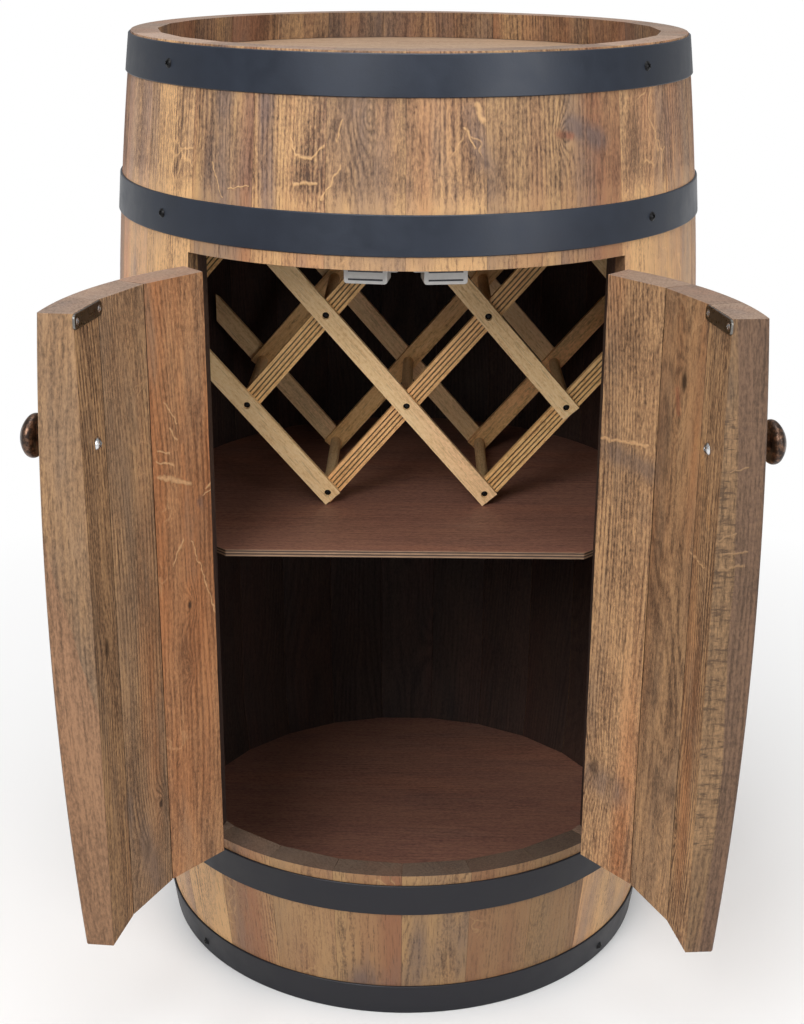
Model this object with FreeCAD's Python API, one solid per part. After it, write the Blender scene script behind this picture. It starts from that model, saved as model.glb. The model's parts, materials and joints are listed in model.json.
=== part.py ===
import FreeCAD, Part
import math
import os

# A bar cabinet made as an upright barrel with two doors, a shelf and a lattice for bottles.
# Millimetres, +Z up. The origin is on the floor, on the barrel's axis, and the front is -Y.
# Angles are in degrees from the front, growing towards +X. Pieces of the right-hand side (+X)
# are modelled, and the left-hand ones are their mirror images. The doors stand open.

# Barrel
BARREL_HEIGHT = 810.0
BELLY_RADIUS = 252.8            # widest, half-way up
TOP_NARROWING = 24.3            # how much smaller the radius is at the upper end
BOTTOM_NARROWING = 30.3
STAVE_DEPTH = 33.0              # at the belly, to the corners of the many-sided inside
INNER_NARROWING = 12.8          # how much smaller the inside's radius is at both ends
BLANK_SHARE = 0.8               # a stave's rough blank starts at this share of the inside's radius
TAPER_HEIGHT = 120.0            # how far from each end the inside starts to close in
BACK_STAVES = 19                # full-height staves, round from one jamb to the other
FRONT_STAVES = 6                # short staves above and below the opening
SILL_Z = 148.0                  # lower edge of the opening
HEADER_HEIGHT = 152.8           # upper edge of the opening to the barrel's upper end

# Heads: round boards let into a groove in the staves
HEAD_THICKNESS = 16.0
TOP_HEAD_DROP = 23.0            # rim to the board's upper face
FLOOR_Z = 62.0                  # upper face of the lower board
GROOVE_DEPTH = 4.0
GROOVE_CLEARANCE = 0.3

# Hoops
HOOP_WIDTH = 30.0
HOOP_THICKNESS = 1.6
HOOP_CLEARANCE = 0.15
TOP_HOOP_DROP = 1.5             # barrel's upper end to the top hoop's upper edge
UPPER_HOOP_RISE = 10.3          # opening to the upper hoop
LOWER_HOOP_DROP = 9.5           # opening to the lower hoop
HOOP_SCREW_ANGLE = 50.5         # of the screws nearest the front, on each side
REAR_SCREW_ANGLE = 137.0
LOW_SCREW_ANGLE = 52.8          # as the first one, but on the bottom hoop
LOW_SCREW_DROP = 4.0            # the bottom hoop's screws, below its middle

# Doors
HINGE_ANGLE = 42.15             # from the front to the hinge line
RIGHT_DOOR_OPEN = 95.2
LEFT_DOOR_OPEN = 95.8
DOOR_TOP_GAP = 5.9
DOOR_BOTTOM_GAP = 11.0
JAMB_GAP = 5.6                  # door edge to jamb, filled by the hinge leaves
JAMB_RELIEF = 8.2               # how much wider the opening is at the barrel's inside
MEETING_GAP = 3.0               # between the two doors
EDGE_STAVE_SPAN = 11.7          # angle of the stave along the free edge
MIDDLE_STAVE_SPAN = 14.6
DOOR_STAVES = 3
EDGE_BEVEL = 1.5                # on the outer corner of the free edge

# Butt hinges
HINGE_PROUD = 4.2               # hinge pin's distance outside the belly
HINGE_INSET = 121.0             # middle of a hinge from the door's end
HINGE_LENGTH = 60.0
LEAF_THICKNESS = 2.0
LEAF_WIDTH = 22.0
KNUCKLE_RADIUS = 4.5
KNUCKLE_GAP = 0.3
PIN_RADIUS = 2.0
PIN_HEAD_RADIUS = 3.2
PIN_HEAD_HEIGHT = 1.5
RUNNING_CLEARANCE = 0.05
HINGE_SCREW_COUNT = 3

# Knobs
KNOB_DROP = 97.3                # below the door's upper end
KNOB_ANGLE = 7.8
KNOB_RADIUS = 16.0
KNOB_PROJECTION = 25.0
KNOB_CROWN = 9.0                # height of the domed front above the widest part
KNOB_EDGE = 4.5                 # radius of the rounded rim
KNOB_NECK_RADIUS = 5.0
KNOB_FOOT_RADIUS = 8.0
KNOB_FOOT_HEIGHT = 3.0

# Magnetic catches and their strike plates
STRIKE_LENGTH = 48.0
STRIKE_OVERHANG = 1.2           # past the door's free edge
STRIKE_HEIGHT = 11.0
STRIKE_THICKNESS = 1.5
STRIKE_DROP = 0.3               # below the door's upper end
STRIKE_CORNER = 3.5
STRIKE_RIM = 0.4                # bevel round the face
STRIKE_SCREW_SPACING = 38.0
CATCH_LENGTH = 33.0
CATCH_HEIGHT = 13.0
CATCH_DEPTH = 18.0
CATCH_ROUND = 0.8               # round the front
CATCH_CORNER = 2.6
CATCH_RISE = 2.1                # middle of the catch above the middle of the strike plate
CATCH_OFFSET = 3.6              # from the middle of its header stave, away from the centre
CATCH_GAP = 1.2                 # pole faces to strike plate with the door shut
CATCH_EAR = 9.5                 # fixing ear, past the case towards the centre
CATCH_EAR_ROUND = 3.5
CATCH_FLANGE_WALL = 1.5         # behind the front of the case
CATCH_FLANGE_TOP = 11.0         # above the header's lower edge
CATCH_FLANGE_DROP = 6.5         # below it
POLE_LENGTH = 26.0
POLE_THICKNESS = 1.2
POLE_PROUD = 0.5
POLE_SPACING = 6.3
POLE_DEPTH = 14.0

# Shelf
SHELF_THICKNESS = 6.2
SHELF_SETBACK = 59.8            # its straight front, from the corners of the inside
SHELF_CLEARANCE = 0.4
CLEAT_SIZE = 16.0
CLEAT_LENGTH = 50.0
CLEAT_STAVES = (4, 10, 16)

# Bottle lattice
COLUMN_PITCH = 69.2
ROW_PITCH = 79.9
RACK_ROWS = 5
SLAT_WIDTH = 17.0
SLAT_THICKNESS = 6.0
SLAT_OVERHANG = 7.0             # past the middle of an end crossing
RACK_HEADROOM = 22.7            # to the upper head
RACK_SETBACK = 110.0            # behind the shelf's front
RACK_DEPTH = 162.0
RACK_HALF_WIDTH = 190.0
RACK_CLEARANCE = 1.0            # to the staves
DOWEL_RADIUS = 5.0
GROOVE_COUNT = 4
GROOVE_WIDTH = 1.2
SLAT_GROOVE_DEPTH = 1.0

# Screws: head radius, head height, shank radius, length under the head
HOOP_SCREW = (3.7, 2.2, 1.8, 14.0)
STRIKE_SCREW = (2.6, 0.7, 1.4, 12.0)
CATCH_SCREW = (3.0, 1.8, 1.5, 13.0)
RACK_SCREW = (2.8, 1.6, 1.5, 20.0)
KNOB_BOLT = (4.8, 2.4, 2.0, 43.0)
HINGE_SCREW = (3.2, 1.7, 1.6, 16.0)
THREAD_CLEARANCE = 0.05
HOLE_CLEARANCE = 0.3
COUNTERBORE_DEPTH = 3.0
RECESS_DEPTH = 0.45             # cross recess, as a share of the head's height
RECESS_REACH = 0.55             # each arm of the recess, as a share of the head's radius
RECESS_WIDTH = 0.25             # as a share of the head's radius

MARGIN = 5.0                    # how far cutting tools run past what they cut

ORIGIN = FreeCAD.Vector(0, 0, 0)
UP = FreeCAD.Vector(0, 0, 1)
INWARD = FreeCAD.Vector(0, 1, 0)
SIDEWAYS = FreeCAD.Vector(1, 0, 0)

TOP_RADIUS = BELLY_RADIUS - TOP_NARROWING
BOTTOM_RADIUS = BELLY_RADIUS - BOTTOM_NARROWING
INNER_RADIUS = BELLY_RADIUS - STAVE_DEPTH
RIM_INNER_RADIUS = INNER_RADIUS - INNER_NARROWING
HINGE_RADIUS = BELLY_RADIUS + HINGE_PROUD
HEADER_Z = BARREL_HEIGHT - HEADER_HEIGHT
DOOR_TOP = HEADER_Z - DOOR_TOP_GAP
DOOR_BOTTOM = SILL_Z + DOOR_BOTTOM_GAP
HINGE_HEIGHTS = (DOOR_BOTTOM + HINGE_INSET, DOOR_TOP - HINGE_INSET)
KNOB_Z = DOOR_TOP - KNOB_DROP
SHELF_FRONT_Y = SHELF_SETBACK - INNER_RADIUS
RACK_FRONT_Y = SHELF_FRONT_Y + RACK_SETBACK
BACK_SPAN = (360.0 - 2 * HINGE_ANGLE) / BACK_STAVES
FRONT_SPAN = 2 * HINGE_ANGLE / FRONT_STAVES
EDGE_FACET_ANGLE = EDGE_STAVE_SPAN / 2
BULGE = Part.Circle(
    FreeCAD.Vector(BOTTOM_RADIUS, 0, 0),
    FreeCAD.Vector(BELLY_RADIUS, 0, BARREL_HEIGHT / 2),
    FreeCAD.Vector(TOP_RADIUS, 0, BARREL_HEIGHT),
)


# ---- Places on the barrel

def polar(radius, angle, z=0.0):
    a = math.radians(angle)
    return FreeCAD.Vector(radius * math.sin(a), -radius * math.cos(a), z)


def bulge_radius(z, offset=0.0):
    """Outer radius of the barrel at a height, or of a skin that lies `offset` outside it."""
    return BULGE.Center.x + math.sqrt((BULGE.Radius + offset) ** 2 - (z - BULGE.Center.z) ** 2)


def bulge_normal(angle, z):
    lean = math.asin((z - BULGE.Center.z) / BULGE.Radius)
    out = polar(math.cos(lean), angle)
    return FreeCAD.Vector(out.x, out.y, math.sin(lean))


def inner_radius(z):
    """Radius to the corners of the inside at a height. It closes in towards both ends."""
    share = min(z, BARREL_HEIGHT - z, TAPER_HEIGHT) / TAPER_HEIGHT
    return RIM_INNER_RADIUS + (INNER_RADIUS - RIM_INNER_RADIUS) * share


def facet_distance(span, z):
    """From the axis to the flat inside of a stave at a height."""
    return inner_radius(z) * math.cos(math.radians(span / 2))


def placed(shape, origin, direction):
    """Stand a shape that is modelled along +Z at a point, along a direction."""
    copy = shape.copy()
    copy.Placement = FreeCAD.Placement(origin, FreeCAD.Rotation(UP, direction))
    return copy


def on_bulge(shape, angle, z, offset=0.0):
    """Stand a shape on the barrel's outside, square to it."""
    normal = bulge_normal(angle, z)
    return placed(shape, polar(bulge_radius(z), angle, z) + normal * offset, normal)


def at_wall(shape, angle, distance):
    """Move a shape modelled with X along the wall and Y towards the axis to its place."""
    copy = shape.copy()
    copy.rotate(ORIGIN, UP, angle)
    copy.translate(polar(distance, angle))
    return copy


def mirrored(shape):
    return shape.mirror(ORIGIN, SIDEWAYS)


def swung(shape, open_angle):
    """Turn a piece of the closed right-hand door about its hinge line."""
    copy = shape.copy()
    copy.rotate(polar(HINGE_RADIUS, HINGE_ANGLE), UP, open_angle)
    return copy


def block(x_low, x_high, y_low, y_high, z_low, z_high):
    corner = FreeCAD.Vector(x_low, y_low, z_low)
    return Part.makeBox(x_high - x_low, y_high - y_low, z_high - z_low, corner)


def prism(points, direction):
    """Extrude the outline through a list of points."""
    return Part.Face(Part.makePolygon(points + points[:1])).extrude(direction)


def turned(profile, start, end):
    """Turn a profile, drawn with X as the radius, between two angles."""
    body = profile.revolve(ORIGIN, UP, end - start)
    body.rotate(ORIGIN, UP, start - 90.0)
    return body


# ---- Screws, modelled with the head's underside at z = 0 and the head towards +Z

def cross_recess(head_radius, top, depth):
    half = head_radius * RECESS_WIDTH / 2
    reach = head_radius * RECESS_REACH
    one = block(-reach, reach, -half, half, top - depth, top + MARGIN)
    two = block(-half, half, -reach, reach, top - depth, top + MARGIN)
    return one.fuse(two)


def pan_screw(size):
    head_radius, head_height, shank_radius, length = size
    ball = (head_radius ** 2 + head_height ** 2) / (2 * head_height)
    dome = Part.makeSphere(ball, FreeCAD.Vector(0, 0, head_height - ball))
    head = dome.common(Part.makeCylinder(head_radius, head_height))
    head = head.cut(cross_recess(head_radius, head_height, head_height * RECESS_DEPTH))
    return head.fuse(Part.makeCylinder(shank_radius, length, ORIGIN, -UP))


def drill(radius, length, start=MARGIN):
    return Part.makeCylinder(radius, length + start, FreeCAD.Vector(0, 0, start), -UP)


def thread_hole(size):
    return drill(size[2] + THREAD_CLEARANCE, size[3] + HOLE_CLEARANCE)


def clear_hole(size):
    return drill(size[2] + HOLE_CLEARANCE, size[3])


def countersunk_screw(size, clearance=0.0):
    """A flat-headed screw, with the flat of its head at z = 0."""
    head_radius, head_height, shank_radius, length = size
    narrow = shank_radius + clearance
    wide = head_radius + clearance
    head = Part.makeCone(wide, narrow, head_height, ORIGIN, -UP)
    return head.fuse(Part.makeCylinder(narrow, length + clearance, ORIGIN, -UP))


# ---- Barrel

def stave_profile(z_low, z_high):
    core = RIM_INNER_RADIUS * BLANK_SHARE
    low = FreeCAD.Vector(bulge_radius(z_low), 0, z_low)
    high = FreeCAD.Vector(bulge_radius(z_high), 0, z_high)
    middle_z = (z_low + z_high) / 2
    middle = FreeCAD.Vector(bulge_radius(middle_z), 0, middle_z)
    core_low = FreeCAD.Vector(core, 0, z_low)
    core_high = FreeCAD.Vector(core, 0, z_high)
    edges = [
        Part.makeLine(core_low, low),
        Part.Arc(low, middle, high).toShape(),
        Part.makeLine(high, core_high),
        Part.makeLine(core_high, core_low),
    ]
    return Part.Face(Part.Wire(edges))


def inside_prism(start, end):
    """What is cut away to leave the flat inside of one stave."""
    bends = (0.0, TAPER_HEIGHT, BARREL_HEIGHT - TAPER_HEIGHT, BARREL_HEIGHT)
    wall = [(facet_distance(end - start, z), z) for z in bends]
    low, high = -MARGIN, BARREL_HEIGHT + MARGIN
    outline = [(0, low), (wall[0][0], low)] + wall + [(wall[-1][0], high), (0, high)]
    half = INNER_RADIUS / 2
    points = [FreeCAD.Vector(x, -half, z) for x, z in outline]
    body = prism(points, INWARD * (2 * half))
    body.rotate(ORIGIN, UP, (start + end) / 2 - 90.0)
    return body


def stave(start, end, z_low, z_high):
    return turned(stave_profile(z_low, z_high), start, end).cut(inside_prism(start, end))


def heads():
    """The radius of each head's groove, and the height of the head's lower face."""
    upper_faces = {"top_head": BARREL_HEIGHT - TOP_HEAD_DROP, "bottom_head": FLOOR_Z}
    return {name: (inner_radius(z) + GROOVE_DEPTH, z - HEAD_THICKNESS) for name, z in upper_faces.items()}


def head_board(radius, z):
    return Part.makeCylinder(radius - GROOVE_CLEARANCE, HEAD_THICKNESS, FreeCAD.Vector(0, 0, z))


def grooves():
    height = HEAD_THICKNESS + GROOVE_CLEARANCE
    discs = [Part.makeCylinder(radius, height, FreeCAD.Vector(0, 0, z)) for radius, z in heads().values()]
    return Part.makeCompound(discs)


def jamb_slot():
    """The gap that the hinge leaves stand in, as tall as the opening."""
    depth = HINGE_RADIUS - INNER_RADIUS + 2 * MARGIN
    slot = block(-JAMB_GAP / 2, JAMB_GAP / 2, 0, depth, SILL_Z, HEADER_Z)
    return at_wall(slot, HINGE_ANGLE, HINGE_RADIUS)


def jamb_relief():
    """What is planed off a jamb beside the hinge leaves, so that the opening widens inwards."""
    wall = HINGE_RADIUS - INNER_RADIUS
    depth = wall + 2 * MARGIN
    face = JAMB_GAP / 2
    widest = face + JAMB_RELIEF * (depth - LEAF_WIDTH) / (wall - LEAF_WIDTH)
    outline = [(0, LEAF_WIDTH), (face, LEAF_WIDTH), (widest, depth), (0, depth)]
    wedge = prism([FreeCAD.Vector(x, y, SILL_Z) for x, y in outline], UP * (HEADER_Z - SILL_Z))
    return at_wall(wedge, HINGE_ANGLE, HINGE_RADIUS)


def back_stave_angles(number):
    start = HINGE_ANGLE + (number - 1) * BACK_SPAN
    return start, start + BACK_SPAN


def back_stave_middle(number):
    start, end = back_stave_angles(number)
    return (start + end) / 2


def back_stave(number):
    start, end = back_stave_angles(number)
    body = stave(start, end, 0.0, BARREL_HEIGHT)
    return body.cut(grooves()).cut(Part.makeCompound(at_hoop_screws(thread_hole(HOOP_SCREW))))


def back_staves():
    """Every full-height stave. The first and last are the jambs that the doors hang from."""
    staves = [back_stave(number) for number in range(1, BACK_STAVES + 1)]
    jamb = staves[0].cut(jamb_slot()).cut(jamb_relief())
    for hole in at_each_hinge(screw_shapes(frame_side=True, clearance=THREAD_CLEARANCE)):
        jamb = jamb.cut(hole)
    return [jamb] + staves[1:-1] + [mirrored(jamb)]


def front_staves(z_low, z_high):
    """The short staves above or below the opening."""
    starts = [i * FRONT_SPAN - HINGE_ANGLE for i in range(FRONT_STAVES)]
    return [stave(start, start + FRONT_SPAN, z_low, z_high).cut(grooves()) for start in starts]


# ---- Hoops

def hoops():
    """The height of each hoop's lower edge."""
    return {
        "hoop_top": BARREL_HEIGHT - TOP_HOOP_DROP - HOOP_WIDTH,
        "hoop_upper": HEADER_Z + UPPER_HOOP_RISE,
        "hoop_lower": SILL_Z - LOWER_HOOP_DROP - HOOP_WIDTH,
        "hoop_bottom": 0.0,
    }


def hoop_skin(z, offset):
    low, middle, high = [
        FreeCAD.Vector(bulge_radius(h, offset), 0, h) for h in (z, z + HOOP_WIDTH / 2, z + HOOP_WIDTH)
    ]
    return low, high, Part.Arc(low, middle, high).toShape()


def hoop(z):
    inner_low, inner_high, inner = hoop_skin(z, HOOP_CLEARANCE)
    outer_low, outer_high, outer = hoop_skin(z, HOOP_CLEARANCE + HOOP_THICKNESS)
    edges = [inner, Part.makeLine(inner_high, outer_high), outer, Part.makeLine(outer_low, inner_low)]
    profile = Part.Face(Part.Wire(Part.__sortEdges__(edges)))
    ring = profile.revolve(ORIGIN, UP, 360.0)
    return ring.cut(Part.makeCompound(at_hoop_screws(clear_hole(HOOP_SCREW))))


def at_hoop_screws(shape):
    """Copies of a shape at every screw of every hoop."""
    offset = HOOP_CLEARANCE + HOOP_THICKNESS
    places = {name: (HOOP_SCREW_ANGLE, z + HOOP_WIDTH / 2) for name, z in hoops().items()}
    places["hoop_bottom"] = (LOW_SCREW_ANGLE, HOOP_WIDTH / 2 - LOW_SCREW_DROP)
    front = [on_bulge(shape, angle, z, offset) for angle, z in places.values()]
    rear = [on_bulge(shape, REAR_SCREW_ANGLE, z, offset) for _, z in places.values()]
    return front + rear + [mirrored(copy) for copy in front + rear]


# ---- Hinges, modelled with Z along the pin, X away from the door and Y towards the barrel's axis

def knuckle_bands():
    """Lower and upper ends of the three knuckles."""
    third = HINGE_LENGTH / 3
    return [
        (0.0, third - KNUCKLE_GAP / 2),
        (third + KNUCKLE_GAP / 2, 2 * third - KNUCKLE_GAP / 2),
        (2 * third + KNUCKLE_GAP / 2, HINGE_LENGTH),
    ]


def leaf(frame_side):
    far = JAMB_GAP / 2
    near = far - LEAF_THICKNESS
    clear_y = KNUCKLE_RADIUS + 2 * KNUCKLE_GAP
    bands = knuckle_bands()
    own = [bands[0], bands[2]] if frame_side else [bands[1]]
    body = block(near, far, clear_y, LEAF_WIDTH, 0, HINGE_LENGTH)
    for low, high in own:
        body = body.fuse(block(near, far, 0, clear_y, low, high))
        body = body.fuse(Part.makeCylinder(KNUCKLE_RADIUS, high - low, FreeCAD.Vector(0, 0, low)))
    body = body.removeSplitter()
    body = body.cut(drill(PIN_RADIUS + RUNNING_CLEARANCE, MARGIN, HINGE_LENGTH + MARGIN))
    body = body if frame_side else mirrored(body)
    for screw in screw_shapes(frame_side, THREAD_CLEARANCE):
        body = body.cut(screw)
    return body


def screw_shapes(frame_side, clearance=0.0):
    """The screws of one leaf, or a little larger, the holes for them."""
    side = 1 if frame_side else -1
    near = side * (JAMB_GAP / 2 - LEAF_THICKNESS)
    y = (KNUCKLE_RADIUS + LEAF_WIDTH) / 2
    pitch = HINGE_LENGTH / HINGE_SCREW_COUNT
    screw = countersunk_screw(HINGE_SCREW, clearance)
    places = [FreeCAD.Vector(near, y, pitch * (i + 0.5)) for i in range(HINGE_SCREW_COUNT)]
    return [placed(screw, place, SIDEWAYS * -side) for place in places]


def hinge_pin():
    shank = Part.makeCylinder(PIN_RADIUS, HINGE_LENGTH)
    head = Part.makeCylinder(PIN_HEAD_RADIUS, PIN_HEAD_HEIGHT, FreeCAD.Vector(0, 0, HINGE_LENGTH))
    return shank.fuse(head).removeSplitter()


def at_each_hinge(shapes):
    """Copies of some shapes at every hinge of the right-hand door."""
    copies = []
    for middle in HINGE_HEIGHTS:
        for shape in shapes:
            copy = at_wall(shape, HINGE_ANGLE, HINGE_RADIUS)
            copy.translate(UP * (middle - HINGE_LENGTH / 2))
            copies.append(copy)
    return copies


# ---- Doors

def door_seams():
    return [0.0, EDGE_STAVE_SPAN, EDGE_STAVE_SPAN + MIDDLE_STAVE_SPAN, HINGE_ANGLE]


def bevelled(body):
    """Bevel the outer corner of the door's free edge."""
    meeting = MEETING_GAP / 2
    along = [edge for edge in body.Edges if edge.BoundBox.XMax < meeting + HOLE_CLEARANCE]
    upright = [edge for edge in along if edge.BoundBox.ZLength > edge.BoundBox.YLength]
    corner = min(upright, key=lambda edge: edge.CenterOfMass.y)
    return body.makeChamfer(EDGE_BEVEL, [corner])


def door_stave(number):
    start, end = door_seams()[number - 1:number + 1]
    body = stave(start, end, DOOR_BOTTOM, DOOR_TOP)
    if number == 1:
        meeting = MEETING_GAP / 2
        body = body.cut(block(-meeting, meeting, -BELLY_RADIUS - MARGIN, 0, 0, BARREL_HEIGHT))
        body = bevelled(body).cut(knob_bolt_hole())
        for tool in strike_places(thread_hole(STRIKE_SCREW)):
            body = body.cut(tool)
    else:
        body = body.cut(strike_outline(RUNNING_CLEARANCE))
    if number == DOOR_STAVES:
        body = body.cut(jamb_slot())
        for hole in at_each_hinge(screw_shapes(frame_side=False, clearance=THREAD_CLEARANCE)):
            body = body.cut(hole)
    return body


# ---- Knobs

def knob_dome():
    """Radius of the domed front that runs smoothly into the rounded rim, and its half-angle."""
    rim_x = KNOB_RADIUS - KNOB_EDGE
    radius = (rim_x ** 2 + KNOB_CROWN ** 2 - KNOB_EDGE ** 2) / (2 * (KNOB_CROWN - KNOB_EDGE))
    return radius, math.atan2(rim_x, radius - KNOB_CROWN)


def knob():
    """A round knob on a waisted neck, modelled along +Z from its foot."""
    rim_z = KNOB_PROJECTION - KNOB_CROWN
    neck_top = rim_z - KNOB_EDGE
    radius, spread = knob_dome()
    crown, middle, shoulder = [
        FreeCAD.Vector(radius * math.sin(a), 0, KNOB_PROJECTION - radius * (1 - math.cos(a)))
        for a in (0.0, spread / 2, spread)
    ]
    foot = FreeCAD.Vector(KNOB_FOOT_RADIUS, 0, 0)
    foot_top = FreeCAD.Vector(KNOB_FOOT_RADIUS, 0, KNOB_FOOT_HEIGHT)
    waist = FreeCAD.Vector(KNOB_NECK_RADIUS, 0, (KNOB_FOOT_HEIGHT + neck_top) / 2)
    neck = FreeCAD.Vector(KNOB_FOOT_RADIUS, 0, neck_top)
    back = FreeCAD.Vector(KNOB_RADIUS - KNOB_EDGE, 0, neck_top)
    rim = FreeCAD.Vector(KNOB_RADIUS, 0, rim_z)
    edges = [
        Part.makeLine(ORIGIN, foot),
        Part.makeLine(foot, foot_top),
        Part.Arc(foot_top, waist, neck).toShape(),
        Part.makeLine(neck, back),
        Part.Arc(back, rim, shoulder).toShape(),
        Part.Arc(shoulder, middle, crown).toShape(),
        Part.makeLine(crown, ORIGIN),
    ]
    body = Part.Face(Part.Wire(edges)).revolve(ORIGIN, UP, 360.0)
    grip = KNOB_BOLT[3] - bolt_reach()
    return body.cut(Part.makeCylinder(KNOB_BOLT[2] + THREAD_CLEARANCE, grip + HOLE_CLEARANCE))


def bolt_reach():
    """Length of the knob's bolt between the door's inside and its outside."""
    return bulge_radius(KNOB_Z) - facet_distance(EDGE_STAVE_SPAN, KNOB_Z) + HOLE_CLEARANCE


def at_knob_bolt(shape):
    """Place a shape that is modelled as a screw, with its head inside the door."""
    out = bulge_normal(KNOB_ANGLE, KNOB_Z)
    surface = polar(bulge_radius(KNOB_Z), KNOB_ANGLE, KNOB_Z)
    return placed(shape, surface - out * bolt_reach(), -out)


def knob_bolt_hole():
    return at_knob_bolt(drill(KNOB_BOLT[2] + HOLE_CLEARANCE, bolt_reach() + MARGIN))


# ---- Catches, modelled with X along the wall, Y towards the barrel's axis and z as on the barrel

def strike_bottom():
    return DOOR_TOP - STRIKE_DROP - STRIKE_HEIGHT


def strike_seat():
    """From the axis to the back of the strike plate. It rests on its lower edge."""
    return facet_distance(EDGE_STAVE_SPAN, strike_bottom())


def strike_middle():
    """The middle of the plate, whose near end stands a little past the door's free edge."""
    facet_angle = math.radians(EDGE_FACET_ANGLE)
    edge = (MEETING_GAP / 2 - strike_seat() * math.sin(facet_angle)) / math.cos(facet_angle)
    return edge - STRIKE_OVERHANG + STRIKE_LENGTH / 2


def at_strike(shape):
    return at_wall(shape, EDGE_FACET_ANGLE, strike_seat())


def strike_outline(clearance):
    """The seat of the plate, where its far end is let into the next stave."""
    left = strike_middle() - STRIKE_LENGTH / 2
    right = left + STRIKE_LENGTH + clearance
    low = strike_bottom() - clearance
    return at_strike(block(left, right, -clearance, STRIKE_THICKNESS + MARGIN, low, DOOR_TOP + MARGIN))


def strike_plate():
    left = strike_middle() - STRIKE_LENGTH / 2
    low = strike_bottom()
    plate = block(left, left + STRIKE_LENGTH, 0, STRIKE_THICKNESS, low, low + STRIKE_HEIGHT)
    corners = [edge for edge in plate.Edges if edge.BoundBox.YLength > STRIKE_THICKNESS / 2]
    plate = plate.makeFillet(STRIKE_CORNER, corners)
    rim = [edge for edge in plate.Edges if edge.BoundBox.YMin > STRIKE_THICKNESS / 2]
    plate = plate.makeChamfer(STRIKE_RIM, rim)
    plate = at_strike(plate)
    for tool in strike_places(clear_hole(STRIKE_SCREW)):
        plate = plate.cut(tool)
    return plate


def strike_places(shape):
    """Copies of a shape at the two screws of the strike plate."""
    z = strike_bottom() + STRIKE_HEIGHT / 2
    xs = [strike_middle() + side * STRIKE_SCREW_SPACING / 2 for side in (-1, 1)]
    places = [FreeCAD.Vector(x, STRIKE_THICKNESS, z) for x in xs]
    return [at_strike(placed(shape, place, INWARD)) for place in places]


def catch_front():
    """How far the pole faces stand behind the header's flat, to clear the strike plate."""
    strike = strike_seat() - STRIKE_THICKNESS
    return facet_distance(FRONT_SPAN, HEADER_Z) - strike + CATCH_GAP


def catch_bottom():
    return strike_bottom() + STRIKE_HEIGHT / 2 + CATCH_RISE - CATCH_HEIGHT / 2


def catch_x():
    return CATCH_OFFSET - CATCH_LENGTH / 2, CATCH_OFFSET + CATCH_LENGTH / 2


def catch_plates():
    """The two pole plates of the right-hand catch."""
    middle = catch_bottom() + CATCH_HEIGHT / 2
    front = catch_front()
    left = CATCH_OFFSET - POLE_LENGTH / 2
    plates = []
    for z in (middle - POLE_SPACING / 2, middle + POLE_SPACING / 2):
        low = z - POLE_THICKNESS / 2
        plates.append(block(left, left + POLE_LENGTH, front, front + POLE_DEPTH, low, low + POLE_THICKNESS))
    return plates


def catch_magnet():
    middle = catch_bottom() + CATCH_HEIGHT / 2
    half = (POLE_SPACING - POLE_THICKNESS) / 2
    back = catch_front() + POLE_DEPTH
    left = CATCH_OFFSET - POLE_LENGTH / 2
    return block(left, left + POLE_LENGTH, back - POLE_DEPTH / 2, back, middle - half, middle + half)


def catch_flange():
    """What the catch is screwed on by. Below the header it stands back, clear of the shut door."""
    x_low, x_high = catch_x()
    end = x_low - CATCH_EAR
    face = catch_front() + POLE_PROUD
    low = HEADER_Z - CATCH_FLANGE_DROP
    flange = block(end, x_high, 0, face + CATCH_FLANGE_WALL, low, HEADER_Z + CATCH_FLANGE_TOP)
    ends = [edge for edge in flange.Edges if edge.BoundBox.XMax < x_low and edge.BoundBox.ZLength < MARGIN]
    corners = [edge for edge in ends if edge.BoundBox.YLength > edge.BoundBox.XLength]
    flange = flange.makeFillet(CATCH_EAR_ROUND, corners)
    return flange.cut(block(end - MARGIN, x_high + MARGIN, -MARGIN, face, low - MARGIN, HEADER_Z))


def catch_body():
    x_low, x_high = catch_x()
    bottom = catch_bottom()
    face = catch_front() + POLE_PROUD
    case = block(x_low, x_high, face, face + CATCH_DEPTH, bottom, bottom + CATCH_HEIGHT)
    case = case.makeFillet(CATCH_CORNER, [edge for edge in case.Edges if edge.BoundBox.YLength > CATCH_CORNER])
    front = [edge for edge in case.Edges if edge.BoundBox.YMax < face + CATCH_ROUND]
    body = case.makeFillet(CATCH_ROUND, front).fuse(catch_flange())
    for inner in catch_plates() + [catch_magnet()] + catch_screw_places(clear_hole(CATCH_SCREW)):
        body = body.cut(inner)
    return body


def catch_screw_places(shape):
    x_low, x_high = catch_x()
    y = catch_front() + POLE_PROUD + CATCH_FLANGE_WALL
    z = HEADER_Z + CATCH_FLANGE_TOP / 2
    xs = (x_low - CATCH_EAR / 2, x_high - CATCH_EAR / 2)
    return [placed(shape, FreeCAD.Vector(x, y, z), INWARD) for x in xs]


def at_catch(shape):
    return at_wall(shape, FRONT_SPAN / 2, facet_distance(FRONT_SPAN, HEADER_Z))


def header_staves():
    staves = front_staves(HEADER_Z, BARREL_HEIGHT)
    holes = [at_catch(hole) for hole in catch_screw_places(thread_hole(CATCH_SCREW))]
    holes = Part.makeCompound(holes + [mirrored(hole) for hole in holes])
    middle = FRONT_STAVES // 2
    return [body.cut(holes) if i in (middle - 1, middle) else body for i, body in enumerate(staves)]


# ---- Shelf

def shelf_top():
    """The shelf lies as low as the lattice under the upper head needs."""
    rack = (RACK_ROWS - 1) * ROW_PITCH + 2 * slat_tip()
    return heads()["top_head"][1] - RACK_HEADROOM - rack


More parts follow.
